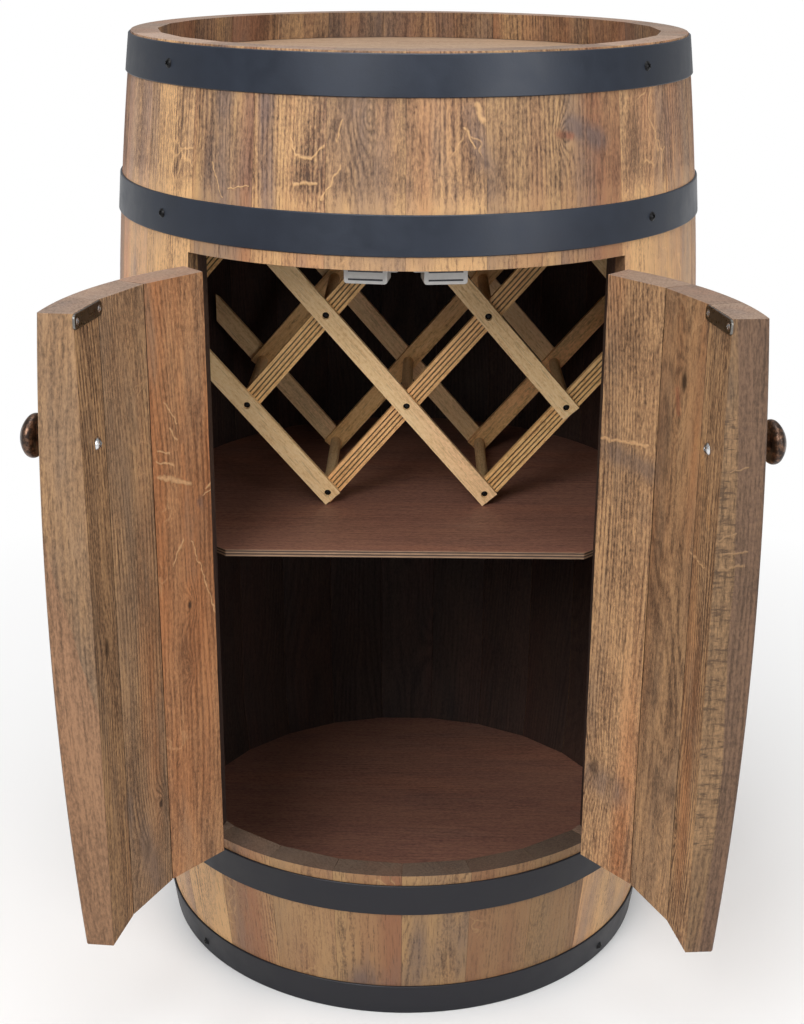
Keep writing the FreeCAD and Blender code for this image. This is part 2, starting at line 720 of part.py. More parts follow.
def shelf():
    low = shelf_top() - SHELF_THICKNESS
    radius = facet_distance(BACK_SPAN, low) - SHELF_CLEARANCE
    board = Part.makeCylinder(radius, SHELF_THICKNESS, UP * low)
    front = block(-radius, radius, -radius - MARGIN, SHELF_FRONT_Y, 0, BARREL_HEIGHT)
    return board.cut(front)


def shelf_cleats():
    top = shelf_top() - SHELF_THICKNESS
    half = CLEAT_LENGTH / 2
    cleat = block(-half, half, 0, CLEAT_SIZE, top - CLEAT_SIZE, top)
    wall = facet_distance(BACK_SPAN, top - CLEAT_SIZE)
    return [at_wall(cleat, back_stave_middle(number), wall) for number in CLEAT_STAVES]


# ---- Bottle lattice: slats cross in rows and columns, in two frames joined by dowels

def slat_length():
    return math.hypot(COLUMN_PITCH, ROW_PITCH)


def slat_tip():
    """How far a slat's tip reaches above or below the middle of its end crossing."""
    return (SLAT_OVERHANG * ROW_PITCH + SLAT_WIDTH / 2 * COLUMN_PITCH) / slat_length()


def crossing(column, row):
    """The middle of a crossing. The tips of the lowest ones stand on the shelf."""
    return FreeCAD.Vector(column * COLUMN_PITCH, 0, shelf_top() + slat_tip() + row * ROW_PITCH)


def crossings():
    """Columns 1 and -1 on even rows, and 0, 2 and -2 on odd rows."""
    return [crossing(c, r) for r in range(RACK_ROWS) for c in ((-1, 1) if r % 2 == 0 else (-2, 0, 2))]


def falling_runs():
    """Where each slat that falls towards +X starts and ends, as column, row pairs.

    A run that leaves the outermost crossing goes on to the lattice's side.
    """
    last = RACK_ROWS - 1
    return [((-3, 2), (-1, 0)), ((-3, 4), (1, 0)), ((-1, last), (2, 1)), ((1, last), (3, 2))]


def slat_run(start, end):
    low, high = crossing(*end), crossing(*start)
    run = high - low
    return low, run.Length, math.degrees(math.atan2(run.x, run.z))


def slat(start, end):
    """A bar that falls towards +X between two crossings, cut square past them."""
    low, length, lean = slat_run(start, end)
    half = SLAT_WIDTH / 2
    bar = block(-half, half, 0, SLAT_THICKNESS, -SLAT_OVERHANG, length + SLAT_OVERHANG)
    bar.rotate(ORIGIN, INWARD, lean)
    bar.translate(low)
    return bar


def grooved_slat(start, end):
    """The same bar with shallow grooves along its front."""
    low, length, lean = slat_run(start, end)
    pitch = SLAT_WIDTH / (GROOVE_COUNT + 1)
    bar = slat(start, end)
    for i in range(GROOVE_COUNT):
        x = pitch * (i + 1) - SLAT_WIDTH / 2 - GROOVE_WIDTH / 2
        tool = block(x, x + GROOVE_WIDTH, -MARGIN, SLAT_GROOVE_DEPTH, -SLAT_WIDTH, length + SLAT_WIDTH)
        tool.rotate(ORIGIN, INWARD, lean)
        tool.translate(low)
        bar = bar.cut(tool)
    return bar


def rack_room():
    """The space that the slats are trimmed to: plumb sides, and clear of the staves."""
    top = crossing(0, RACK_ROWS - 1).z + SLAT_WIDTH
    radius = facet_distance(BACK_SPAN, top) - RACK_CLEARANCE
    drum = Part.makeCylinder(radius, BARREL_HEIGHT)
    return drum.common(block(-RACK_HALF_WIDTH, RACK_HALF_WIDTH, -radius, radius, 0, BARREL_HEIGHT))


def rack_layers():
    """The front face of each layer, from the front of the lattice to its back."""
    back = RACK_FRONT_Y + RACK_DEPTH
    return {
        "rack_front_falling_slats": RACK_FRONT_Y,
        "rack_front_rising_slats": RACK_FRONT_Y + SLAT_THICKNESS,
        "rack_back_rising_slats": back - 2 * SLAT_THICKNESS,
        "rack_back_falling_slats": back - SLAT_THICKNESS,
    }


def rack_screw_places(shape):
    """A shape, and the same facing backwards, at every crossing, seated in its counterbore."""
    seat = COUNTERBORE_DEPTH
    back = RACK_FRONT_Y + RACK_DEPTH
    copies = []
    for point in crossings():
        copies.append(placed(shape, point + INWARD * (RACK_FRONT_Y + seat), -INWARD))
        copies.append(placed(shape, point + INWARD * (back - seat), INWARD))
    return copies


def rack_holes():
    """Counterbores and through holes for the screws, at every crossing."""
    head_radius = RACK_SCREW[0] + HOLE_CLEARANCE
    counterbore = Part.makeCylinder(head_radius, COUNTERBORE_DEPTH + MARGIN)
    through = drill(RACK_SCREW[2] + HOLE_CLEARANCE, 2 * SLAT_THICKNESS, 0.0)
    return Part.makeCompound(rack_screw_places(counterbore.fuse(through)))


def rack_slats(name):
    make = grooved_slat if name == "rack_front_rising_slats" else slat
    bars = []
    for start, end in falling_runs():
        bar = make(start, end)
        bar.translate(INWARD * rack_layers()[name])
        bar = bar.common(rack_room())
        bar = mirrored(bar) if "rising" in name else bar
        bars.append(bar.cut(rack_holes()))
    return bars


def rack_dowels():
    front = RACK_FRONT_Y + 2 * SLAT_THICKNESS
    length = RACK_DEPTH - 4 * SLAT_THICKNESS
    threads = Part.makeCompound(rack_screw_places(thread_hole(RACK_SCREW)))
    rods = [Part.makeCylinder(DOWEL_RADIUS, length, point + INWARD * front, INWARD) for point in crossings()]
    return [rod.cut(threads) for rod in rods]


# ---- Assembly

def door_nodes(open_angle):
    """Every piece of the right-hand door, swung open."""
    pieces = {"stave_%d" % (i + 1): door_stave(i + 1) for i in range(DOOR_STAVES)}
    pieces["knob"] = on_bulge(knob(), KNOB_ANGLE, KNOB_Z)
    pieces["knob_bolt"] = at_knob_bolt(pan_screw(KNOB_BOLT))
    pieces["strike_plate"] = strike_plate()
    pieces["hinge_leaves"] = Part.makeCompound(at_each_hinge([leaf(frame_side=False)]))
    screws = strike_places(pan_screw(STRIKE_SCREW)) + at_each_hinge(screw_shapes(frame_side=False))
    pieces["screws"] = Part.makeCompound(screws)
    return {name: swung(shape, open_angle) for name, shape in pieces.items()}


def both_sides(shapes):
    return Part.makeCompound(shapes + [mirrored(shape) for shape in shapes])


def barrel_nodes():
    nodes = {"stave_%02d" % (i + 1): body for i, body in enumerate(back_staves())}
    nodes["header_staves"] = Part.makeCompound(header_staves())
    nodes["sill_staves"] = Part.makeCompound(front_staves(0.0, SILL_Z))
    nodes.update({name: head_board(radius, z) for name, (radius, z) in heads().items()})
    nodes.update({name: hoop(z) for name, z in hoops().items()})
    nodes["hoop_screws"] = Part.makeCompound(at_hoop_screws(pan_screw(HOOP_SCREW)))
    return nodes


def fitting_nodes():
    catch_right = at_catch(catch_body())
    return {
        "hinge_frame_leaves": both_sides(at_each_hinge([leaf(frame_side=True)])),
        "hinge_pins": both_sides(at_each_hinge([hinge_pin()])),
        "hinge_frame_screws": both_sides(at_each_hinge(screw_shapes(frame_side=True))),
        "catch_body_right": catch_right,
        "catch_body_left": mirrored(catch_right),
        "catch_pole_plates": both_sides([at_catch(plate) for plate in catch_plates()]),
        "catch_magnets": both_sides([at_catch(catch_magnet())]),
        "catch_screws": both_sides([at_catch(s) for s in catch_screw_places(pan_screw(CATCH_SCREW))]),
        "shelf": shelf(),
        "shelf_cleats": Part.makeCompound(shelf_cleats()),
    }


def rack_nodes():
    nodes = {name: Part.makeCompound(rack_slats(name)) for name in rack_layers()}
    nodes["rack_dowels"] = Part.makeCompound(rack_dowels())
    nodes["rack_screws"] = Part.makeCompound(rack_screw_places(pan_screw(RACK_SCREW)))
    return nodes


def all_nodes():
    nodes = barrel_nodes()
    nodes.update(fitting_nodes())
    nodes.update(rack_nodes())
    for name, shape in door_nodes(RIGHT_DOOR_OPEN).items():
        nodes["door_right_" + name] = shape
    for name, shape in door_nodes(LEFT_DOOR_OPEN).items():
        nodes["door_left_" + name] = mirrored(shape)
    return nodes


os.makedirs("parts", exist_ok=True)
for node, model in all_nodes().items():
    model.exportStep("parts/%s.step" % node)
    print(node, len(model.Solids), model.isValid(), round(model.Volume))
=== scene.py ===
import json
import math
import random
from collections import namedtuple

import bmesh
import bpy
from mathutils import Matrix, Vector, noise

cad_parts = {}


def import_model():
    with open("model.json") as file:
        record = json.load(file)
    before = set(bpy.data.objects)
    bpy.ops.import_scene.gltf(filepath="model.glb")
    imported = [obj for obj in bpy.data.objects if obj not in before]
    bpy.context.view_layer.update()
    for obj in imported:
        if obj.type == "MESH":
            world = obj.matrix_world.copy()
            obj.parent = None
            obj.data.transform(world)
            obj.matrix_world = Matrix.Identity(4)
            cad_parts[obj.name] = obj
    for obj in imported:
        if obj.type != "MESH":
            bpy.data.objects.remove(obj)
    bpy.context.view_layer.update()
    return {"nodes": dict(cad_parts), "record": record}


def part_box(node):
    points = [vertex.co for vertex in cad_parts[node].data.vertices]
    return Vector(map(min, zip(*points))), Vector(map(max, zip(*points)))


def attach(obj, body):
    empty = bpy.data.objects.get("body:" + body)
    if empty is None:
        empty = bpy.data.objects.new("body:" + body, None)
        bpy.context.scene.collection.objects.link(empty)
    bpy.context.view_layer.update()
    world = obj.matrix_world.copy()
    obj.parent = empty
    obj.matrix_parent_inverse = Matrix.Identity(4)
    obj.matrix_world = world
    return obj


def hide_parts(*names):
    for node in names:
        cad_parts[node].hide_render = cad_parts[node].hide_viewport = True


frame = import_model()

# A barrel bar cabinet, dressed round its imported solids. Metres, +Z up, the front is -Y.
# Angles are in degrees from the front, growing towards +X, as in the part's source.


def top_of(node):
    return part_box(node)[1].z


def bottom_of(node):
    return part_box(node)[0].z


# ---- Sizes

HEIGHT = top_of("stave_10")
BELLY_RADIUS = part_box("stave_10")[1].y
TOP_RADIUS = BELLY_RADIUS - 0.0243
BOTTOM_RADIUS = BELLY_RADIUS - 0.0303
INNER_RADIUS = BELLY_RADIUS - 0.0330  # to the corners of the many-sided inside
RIM_INNER_RADIUS = INNER_RADIUS - 0.0128  # to those corners, at both ends
TAPER_HEIGHT = 0.120  # how far from each end the inside closes in
HEAD_TOP = top_of("top_head")
SILL_Z = top_of("sill_staves")
HEADER_Z = bottom_of("header_staves")
BACK_STAVES = 19
FRONT_STAVES = 6
HINGE_ANGLE = 42.15
HINGE_RADIUS = BELLY_RADIUS + 0.0042
JAMB_GAP = 0.0056
JAMB_RELIEF = 0.0082  # how much wider the opening is at the barrel's inside
LEAF_WIDTH = 0.022
MEETING_GAP = 0.003
DOOR_SEAMS = (0.0, 11.7, 26.3, HINGE_ANGLE)
DOOR_BOTTOM = bottom_of("door_right_stave_2")
DOOR_TOP = top_of("door_right_stave_2")
DOOR_OPEN = {"right": 95.2, "left": -95.8}
EDGE_BEVEL = 0.0015  # on the outer corner of a door's free edge
GROOVE_CLEARANCE = 0.0003  # round a head in its groove
CUT_PAST_INSIDE = 0.010  # how far the jambs' cutter reaches past the wall
CUT_PAST_OUTSIDE = 0.050
SEAT_GROWTH = 1.01  # of a strike plate's seat over the plate

LEVEL_STEP = 0.018  # about how far apart a stave's cross-sections are
ARC_STEPS = 6  # across a stave's outside
ROUND_STEPS = 180  # round a groove for a head
HOOP_STEPS = 240  # round a hoop
SPOT_RADIUS = 0.240  # at which angles become lengths, for marks on the outside
DOOR_SPOT_RADIUS = 0.220  # the same, on the doors' insides
ARRIS = 0.0003  # rounding of wooden arrises
ARRIS_SEGMENTS = 2
SMOOTH_ANGLE = math.radians(35)
SAME_POINT = 1e-6  # points nearer than this are one


# ---- Places on the barrel

def spread(first, last, steps):
    """Evenly spaced values from first to last."""
    return [first + (last - first) * i / steps for i in range(steps + 1)]


def circle_through(a, b, c):
    """Centre and radius of the circle through three points of a plane."""
    ab, ac = b - a, c - a
    double = 2 * (ab.x * ac.y - ab.y * ac.x)
    x = (ac.y * ab.length_squared - ab.y * ac.length_squared) / double
    y = (ab.x * ac.length_squared - ac.x * ab.length_squared) / double
    return a + Vector((x, y)), math.hypot(x, y)


BULGE, BULGE_RADIUS = circle_through(
    Vector((BOTTOM_RADIUS, 0)), Vector((BELLY_RADIUS, HEIGHT / 2)), Vector((TOP_RADIUS, HEIGHT))
)


def outer_radius(z):
    return BULGE.x + math.sqrt(BULGE_RADIUS ** 2 - (z - BULGE.y) ** 2)


def inner_radius(z):
    share = min(z, HEIGHT - z, TAPER_HEIGHT) / TAPER_HEIGHT
    return RIM_INNER_RADIUS + (INNER_RADIUS - RIM_INNER_RADIUS) * share


def outward(angle):
    a = math.radians(angle)
    return Vector((math.sin(a), -math.cos(a), 0))


def sideways(angle):
    """The way in which the angle grows."""
    a = math.radians(angle)
    return Vector((math.cos(a), math.sin(a), 0))


# ---- Material graphs

class Graph:
    """A material's nodes, with one short call for each kind."""

    def __init__(self, name):
        self.material = bpy.data.materials.new(name)
        self.material.use_nodes = True
        self.tree = self.material.node_tree
        self.shader = self.tree.nodes["Principled BSDF"]

    def node(self, kind, inputs=(), output=0, **settings):
        """Make a node, feed it values or other nodes' outputs, and give back one of its outputs."""
        made = self.tree.nodes.new("ShaderNode" + kind)
        for name, value in settings.items():
            setattr(made, name, value)
        for key, value in dict(inputs).items():
            self.feed(made.inputs[key], value)
        return made.outputs[output]

    def feed(self, socket, value):
        if isinstance(value, bpy.types.NodeSocket):
            self.tree.links.new(value, socket)
        else:
            socket.default_value = value

    def math(self, operation, *values):
        return self.node("Math", enumerate(values), operation=operation)

    def vector(self, operation, *values):
        return self.node("VectorMath", enumerate(values), operation=operation)

    def measure(self, operation, *vectors):
        return self.node("VectorMath", enumerate(vectors), 1, operation=operation)

    def plus(self, value, other, weight):
        """The value, and a share of another."""
        return self.math("ADD", value, self.math("MULTIPLY", other, weight))

    def noise(self, vector, scale=1.0, detail=2.0, roughness=0.5, distortion=0.0):
        inputs = {"Vector": vector, "Scale": scale, "Detail": detail,
                  "Roughness": roughness, "Distortion": distortion}
        return self.node("TexNoise", inputs)

    def grained(self, place, waves, **settings):
        """Noise drawn out along the grain. `waves` says how often it repeats in a metre, each way."""
        return self.noise(self.vector("MULTIPLY", place, waves), **settings)

    def shifts(self, vector, scale):
        """A vector of 0 to 1 each way that differs from place to place."""
        return self.node("TexNoise", {"Vector": vector, "Scale": scale, "Detail": 2.0}, 1)

    def random(self, value):
        """A colour that differs from value to value."""
        return self.node("TexWhiteNoise", {"W": value}, 1, noise_dimensions="1D")

    def parts(self, vector):
        """The three numbers of a vector."""
        return tuple(self.node("SeparateXYZ", {0: vector}).node.outputs)

    def blend(self, factor, a, b):
        """The number a where the factor is 0, and b where it is 1."""
        return self.node("Mix", {0: factor, 2: a, 3: b})

    def span(self, value, low, high, out_low=0.0, out_high=1.0):
        """Map low..high to out_low..out_high, and no further."""
        inputs = {"Value": value, "From Min": low, "From Max": high, "To Min": out_low, "To Max": out_high}
        return self.node("MapRange", inputs)

    def mix(self, factor, a, b, blend="MIX"):
        made = self.tree.nodes.new("ShaderNodeMix")
        made.data_type = "RGBA"
        made.blend_type = blend
        self.feed(made.inputs[0], factor)
        self.feed(made.inputs[6], a if isinstance(a, bpy.types.NodeSocket) else (*a, 1.0))
        self.feed(made.inputs[7], b if isinstance(b, bpy.types.NodeSocket) else (*b, 1.0))
        return made.outputs[2]

    def scaled(self, colour, factor):
        """A colour made lighter or darker by a factor, which may be a socket."""
        grey = self.node("CombineColor", {0: factor, 1: factor, 2: factor})
        return self.mix(1.0, colour, grey, "MULTIPLY")

    def bump(self, height, distance, strength=1.0):
        return self.node("Bump", {"Height": height, "Distance": distance, "Strength": strength})

    def attribute(self, name):
        """A vector that the mesh holds."""
        return self.node("Attribute", output=1, attribute_name=name)

    def objects_own(self):
        """The object's own coordinates."""
        return self.node("TexCoord", output=3)

    def finish(self, colour, roughness, normal, metallic=0.0, specular=0.5):
        inputs = {"Base Color": colour, "Roughness": roughness, "Normal": normal,
                  "Metallic": metallic, "Specular IOR Level": specular}
        for name, value in inputs.items():
            self.feed(self.shader.inputs[name], value)
        return self.material


# ---- Wood

# How often each pattern of the grain repeats in a metre: across a board, into it and along it.
RING_WAVE = (24.0, 24.0, 1.6)
FLAT_FIGURE = (15.0, 15.0, 3.0)
RING_STRENGTH = (30.0, 30.0, 5.0)
FIBRE = (420.0, 420.0, 22.0)
SPECKLE = (620.0, 620.0, 260.0)
BROAD = (42.0, 42.0, 8.0)
PORES = (950.0, 950.0, 70.0)
WARMTH = (22.0, 22.0, 2.4)
STAIN = (30.0, 30.0, 6.0)
SAW_MARKS = (60.0, 60.0, 260.0)
CRACK_CELLS = (30.0, 30.0, 17.0)
CRACK_PATCHES = (20.0, 20.0, 12.0)
SEAM_WANDER = (0.0, 0.0, 170.0)

RINGS_PER_METRE = 300.0  # where a board was sawn through the log's middle
RING_WOBBLE = 9.0  # in rings
FLAT_RINGS = 26.0  # over the whole range of the flat figure's noise
KNOT_RINGS = 5.0  # that a knot pushes aside
KNOT_REACH = 6.0  # in the knot's radii
SEED_SPREAD = 5.0  # keeps the boards apart in the patterns
PLAIN_MOTTLE = 0.7  # more mottle than this leaves the mean shade as it is
DARK, MIDDLE, PALE = 0.95, 1.22, 1.56  # the grain's levels that get a palette's three colours
CROOKEDNESS = 0.006  # of torn fibres, in metres
WORN_EDGE = (0.010, 0.026)  # where a rubbed band ends, above its hoop
SAWN_FADE = 0.02
ZONE_BLUR = 0.0006
WOOD_SPECULAR = 0.35

Palette = namedtuple("Palette", "pale middle dark red grey")


def tinted(colour, factor):
    """A colour made lighter, as far as white, or darker."""
    return [min(1.0, channel * factor) for channel in colour]


def darker(palette, factor):
    return Palette(*(tinted(colour, factor) for colour in palette))


class Board:
    """What the shader reads from the mesh of a board, and the patterns that its marks share.

    The mesh holds "wood" (across, depth, along), "board" (half width, seed, tone), "look" (redness,
    greyness, how flat it was sawn) and "spot" (round the barrel, 0, height), in metres.
    """

    def __init__(self, g, on_edge):
        place = g.attribute("wood")
        self.half, self.seed, self.tone = g.parts(g.attribute("board"))
        self.redder, self.greyer, self.flat = g.parts(g.attribute("look"))
        self.across, self.depth, self.along = g.parts(place)
        self.spot = g.node("CombineXYZ", {0: self.depth, 2: self.along}) if on_edge else g.attribute("spot")
        offset = g.node("VectorMath", {0: g.random(self.seed), "Scale": SEED_SPREAD}, operation="SCALE")
        self.local = g.vector("ADD", place, offset)
        self.fibre = g.grained(self.local, FIBRE, detail=3.0, roughness=0.66)
        self.broad = g.grained(self.local, BROAD, detail=5.0, roughness=0.66)
        self.stain = g.grained(self.local, STAIN, detail=3.0, roughness=0.6)
        self.pores = g.span(g.grained(self.local, PORES, detail=1.0), 0.60, 0.70)


def on_face(mark):
    """A mark's place on a board's face, given as (round the barrel, height)."""
    return Vector((mark[0], 0.0, mark[1]))


def near_line(g, place, start, end, width):
    """1 on a straight stroke between two marks, and 0 beyond its width."""
    start, run = on_face(start), on_face(end) - on_face(start)
    from_start = g.vector("SUBTRACT", place, start)
    share = g.node("Clamp", {0: g.measure("DOT_PRODUCT", from_start, run / run.length_squared)})
    nearest = g.node("VectorMath", {0: run, "Scale": share}, operation="SCALE")
    return g.span(g.measure("DISTANCE", from_start, nearest), 0.3 * width, width, 1.0, 0.0)


def from_knot(g, place, centre):
    """Distance from a knot, which is longer than it is wide."""
    offset = g.vector("SUBTRACT", place, on_face(centre))
    return g.measure("LENGTH", g.vector("MULTIPLY", offset, (1.0, 1.0, 0.5)))


def growth_rings(g, board, knots):
    """Near-straight lines, or arcs where the board was sawn flat, and the dark hearts of its knots.

    Knots push the rings aside.
    """
    wave = g.grained(board.local, RING_WAVE, detail=2.0, roughness=0.45)
    lines = g.math("MULTIPLY", g.math("ADD", board.across, board.depth), RINGS_PER_METRE)
    straight = g.plus(lines, wave, RING_WOBBLE)
    figure = g.grained(board.local, FLAT_FIGURE, detail=1.2, roughness=0.4, distortion=0.25)
    phase = g.blend(board.flat, straight, g.math("MULTIPLY", figure, FLAT_RINGS))
    hearts = 0.0
    for centre, radius, darkness in knots:
        distance = g.plus(from_knot(g, board.spot, centre), wave, 0.3 * radius)
        swell = g.math("POWER", g.span(distance, 0.0, KNOT_REACH * radius, 1.0, 0.0), 2.5)
        phase = g.plus(phase, swell, KNOT_RINGS)
        hearts = g.math("MAXIMUM", hearts, g.span(distance, 0.5 * radius, 1.1 * radius, darkness, 0.0))
    ring = g.span(g.math("PINGPONG", phase, 0.5), 0.04, 0.34)
    patches = g.grained(board.local, RING_STRENGTH, detail=1.0)
    strength = g.span(patches, 0.30, 0.70, 0.15, 1.0)
    return g.math("MULTIPLY", g.math("SUBTRACT", ring, 0.75), strength), hearts


def grain_of(g, board, ring, figure, mottle):
    """How pale the bare wood is."""
    speckle = g.grained(board.local, SPECKLE, detail=2.0, roughness=0.65)
    grain = g.plus(g.math("MULTIPLY", ring, 0.34 * figure), board.fibre, 0.75)
    grain = g.plus(g.plus(grain, speckle, 1.15), board.broad, mottle)
    return g.math("SUBTRACT", grain, (mottle - PLAIN_MOTTLE) / 2)


def rubbed(g, board, grain, hoop_edge):
    """Where a hoop was slid on, the stain is rubbed off."""
    edge = g.plus(board.along, board.broad, 0.016)
    paler = g.span(edge, hoop_edge + WORN_EDGE[0], hoop_edge + WORN_EDGE[1], 0.30, 0.0)
    return g.math("ADD", grain, paler)


def stained(g, board, grain, light, palette):
    """The grain's colours, with stain taken up redder in some boards and greyer in others."""
    colour = g.mix(g.span(grain, DARK, MIDDLE), palette.dark, palette.middle)
    colour = g.mix(g.span(grain, MIDDLE, PALE), colour, palette.pale)
    warmth = g.plus(g.grained(board.local, WARMTH, detail=2.0), board.redder, 0.5)
    colour = g.mix(g.span(warmth, 0.54, 0.78, 0.0, 0.85), colour, g.scaled(palette.red, light))
    cold = g.plus(board.stain, board.greyer, 0.45)
    return g.mix(g.span(cold, 0.55, 0.78, 0.0, 0.80), colour, g.scaled(palette.grey, light))


def saw_marked(g, board, colour, light, palette, low, high):
    """Saw marks across the grain, between two heights."""
    marks = g.grained(board.local, SAW_MARKS, detail=4.0, roughness=0.7)
    below_top = g.span(board.along, high - SAWN_FADE, high, 1.0, 0.0)
    part = g.math("MULTIPLY", g.span(board.along, low, low + SAWN_FADE), below_top)
    pale_share = g.math("MULTIPLY", part, g.span(marks, 0.44, 0.60, 0.10, 0.8))
    colour = g.mix(pale_share, colour, g.scaled(palette.pale, light))
    dark_share = g.math("MULTIPLY", part, g.span(marks, 0.38, 0.46, 0.9, 0.0))
    return g.mix(dark_share, colour, palette.dark)


def outer_layer(g, board, colour, light, line, slope, outer_colour):
    """The outer layer that shows on a board's edge, beside a wavering line."""
    border = g.plus(g.plus(board.depth, board.along, slope), board.stain, 0.012)
    share = g.span(border, line - ZONE_BLUR, line + ZONE_BLUR, 0.85, 0.0)
    return g.mix(share, colour, g.scaled(outer_colour, light))


def torn_fibres(g, board, strokes, cracks):
    """How torn the fibres are: a few known strokes, and short crooked ones anywhere."""
    shift = g.vector("MULTIPLY", g.shifts(board.spot, 160.0), (CROOKEDNESS, 0.0, CROOKEDNESS))
    shaken = g.vector("ADD", board.spot, shift)
    shaken = g.vector("SUBTRACT", shaken, (CROOKEDNESS / 2, 0.0, CROOKEDNESS / 2))
    torn = 0.0
    for start, end, width in strokes:
        torn = g.math("MAXIMUM", torn, near_line(g, shaken, start, end, width))
    if not cracks:
        return torn
    bent = g.vector("ADD", g.vector("MULTIPLY", board.local, CRACK_CELLS), g.shifts(board.local, 40.0))
    net = g.node("TexVoronoi", {"Vector": bent, "Scale": 1.0}, feature="DISTANCE_TO_EDGE")
    patch = g.span(g.grained(board.local, CRACK_PATCHES, detail=1.0), 0.60, 0.66)
    scattered = g.math("MULTIPLY", g.span(net, 0.010, 0.030, cracks, 0.0), patch)
    return g.math("MAXIMUM", torn, scattered)


def with_seam(g, board, colour, width, seam_colour):
    """Stain and dirt along the seams, with a torn outline."""
    wander = g.grained(board.spot, SEAM_WANDER, detail=3.0, roughness=0.7)
    inside = g.math("SUBTRACT", board.half, g.math("ABSOLUTE", board.across))
    clean = g.math("SUBTRACT", g.math("DIVIDE", inside, width), g.span(wander, 0.42, 0.62, 0.0, 1.6))
    return g.mix(g.span(clean, -0.3, 0.5), seam_colour, colour)


def wood(name, palette, figure=1.0, relief=1.0, roughness=0.55, seam=0.0, seam_colour=(0.02, 0.011, 0.007),
         cracks=0.0, knots=(), strokes=(), stains=(), zone=None, sawn=None, worn_above=None,
         mottle=PLAIN_MOTTLE, painted_low_shading=0.0):
    """Stained and brushed wood. A board's free edge is the one that has a zone, and there the marks
    are given as (depth below the outside, height)."""
    g = Graph(name)
    board = Board(g, on_edge=zone is not None)
    ring, hearts = growth_rings(g, board, knots)
    grain = grain_of(g, board, ring, figure, mottle)
    if worn_above is not None:
        grain = rubbed(g, board, grain, worn_above)
    light = g.span(grain, DARK, 1.5, 0.55, 1.35)
    colour = stained(g, board, grain, light, palette)
    if sawn:
        colour = saw_marked(g, board, colour, light, palette, *sawn)
    if zone:
        colour = outer_layer(g, board, colour, light, *zone)
    for start, end, width, stain in stains:
        line = near_line(g, board.spot, start, end, width)
        share = g.math("MULTIPLY", line, g.span(board.broad, 0.38, 0.55))
        colour = g.mix(g.math("MULTIPLY", share, 0.75), colour, g.scaled(stain, light))
    torn = torn_fibres(g, board, strokes, cracks)
    colour = g.mix(g.math("MULTIPLY", torn, 0.75), colour, tinted(palette.pale, 1.15))
    colour = g.mix(g.math("MULTIPLY", board.pores, 0.40), colour, tinted(palette.dark, 0.5))
    colour = g.mix(hearts, colour, tinted(palette.dark, 0.35))
    # A board's tone, partly painted light and shade, and a painted light (positive) or painted shade
    # (negative) that grows towards the doors' bottom.
    tone = g.math("ADD", board.tone, g.span(board.along, DOOR_BOTTOM, DOOR_TOP, 1.0 + painted_low_shading, 1.0))
    colour = g.scaled(colour, tone)
    if seam:
        colour = with_seam(g, board, colour, seam, seam_colour)

    height = g.plus(g.math("MULTIPLY", board.fibre, 0.8), ring, 0.5)
    height = g.plus(g.plus(height, board.pores, -0.4), torn, 0.5)
    normal = g.bump(height, 0.0007 * relief, 0.7)
    rough = g.span(grain, 0.9, 1.5, roughness + 0.1, roughness - 0.05)
    return g.finish(colour, rough, normal, specular=WOOD_SPECULAR)


OUTSIDE = Palette(pale=(0.60, 0.355, 0.165), middle=(0.295, 0.168, 0.088), dark=(0.080, 0.043, 0.026),
                  red=(0.29, 0.120, 0.062), grey=(0.180, 0.122, 0.098))
DOOR_INSIDE = Palette(pale=(0.54, 0.315, 0.155), middle=(0.28, 0.158, 0.083), dark=(0.088, 0.046, 0.026),
                      red=(0.34, 0.128, 0.048), grey=(0.185, 0.122, 0.080))
FREE_EDGE = Palette(pale=(0.47, 0.275, 0.135), middle=(0.31, 0.178, 0.092), dark=(0.16, 0.092, 0.050),
                    red=(0.33, 0.145, 0.075), grey=(0.22, 0.145, 0.095))
END_GRAIN = Palette(pale=(0.33, 0.230, 0.165), middle=(0.245, 0.165, 0.118), dark=(0.155, 0.100, 0.072),
                    red=(0.26, 0.150, 0.100), grey=(0.195, 0.140, 0.110))
# Near black: painted shade deep inside the barrel; the rim above it, the same wood, keeps its own colour.
INSIDE = Palette(pale=(0.060, 0.034, 0.024), middle=(0.036, 0.020, 0.015), dark=(0.018, 0.010, 0.008),
                 red=(0.050, 0.022, 0.016), grey=(0.024, 0.016, 0.014))

HOOP_EDGE_Z = top_of("hoop_upper")
PURPLE = (0.145, 0.100, 0.090)
RUST = (0.27, 0.095, 0.050)
GREYED = (0.150, 0.100, 0.075)
YELLOWED = (0.42, 0.22, 0.095)

# Strokes are (start, end, width), knots (centre, radius, darkness) and stains (start, end, width,
# colour). Their places are (round the barrel, height), here with 0 at the front's middle.
OUTSIDE_STROKES = (
    ((-0.086, 0.748), (-0.082, 0.736), 0.0012), ((-0.082, 0.736), (-0.070, 0.735), 0.0014),
    ((-0.070, 0.735), (-0.061, 0.744), 0.0012), ((-0.139, 0.709), (-0.121, 0.713), 0.0009),
    ((-0.083, 0.717), (-0.066, 0.718), 0.0018), ((-0.047, 0.731), (-0.062, 0.706), 0.0010),
    ((-0.047, 0.762), (-0.050, 0.747), 0.0009), ((0.043, 0.758), (0.050, 0.744), 0.0012),
    ((0.051, 0.773), (0.056, 0.762), 0.0026), ((-0.156, 0.728), (-0.145, 0.702), 0.0007),
)
OUTSIDE_KNOTS = (
    ((-0.027, 0.765), 0.0045, 0.1), ((0.122, 0.750), 0.003, 0.35),
    ((0.030, 0.096), 0.0045, 0.1), ((0.215, 0.080), 0.004, 0.1),
)
OUTSIDE_STAINS = (
    ((0.128, 0.757), (0.156, 0.744), 0.011, PURPLE), ((0.116, 0.751), (0.128, 0.749), 0.004, RUST),
    ((0.047, 0.768), (0.055, 0.733), 0.010, PURPLE), ((-0.108, 0.775), (-0.104, 0.700), 0.009, PURPLE),
    ((-0.034, 0.010), (-0.034, 0.030), 0.030, PURPLE),
)

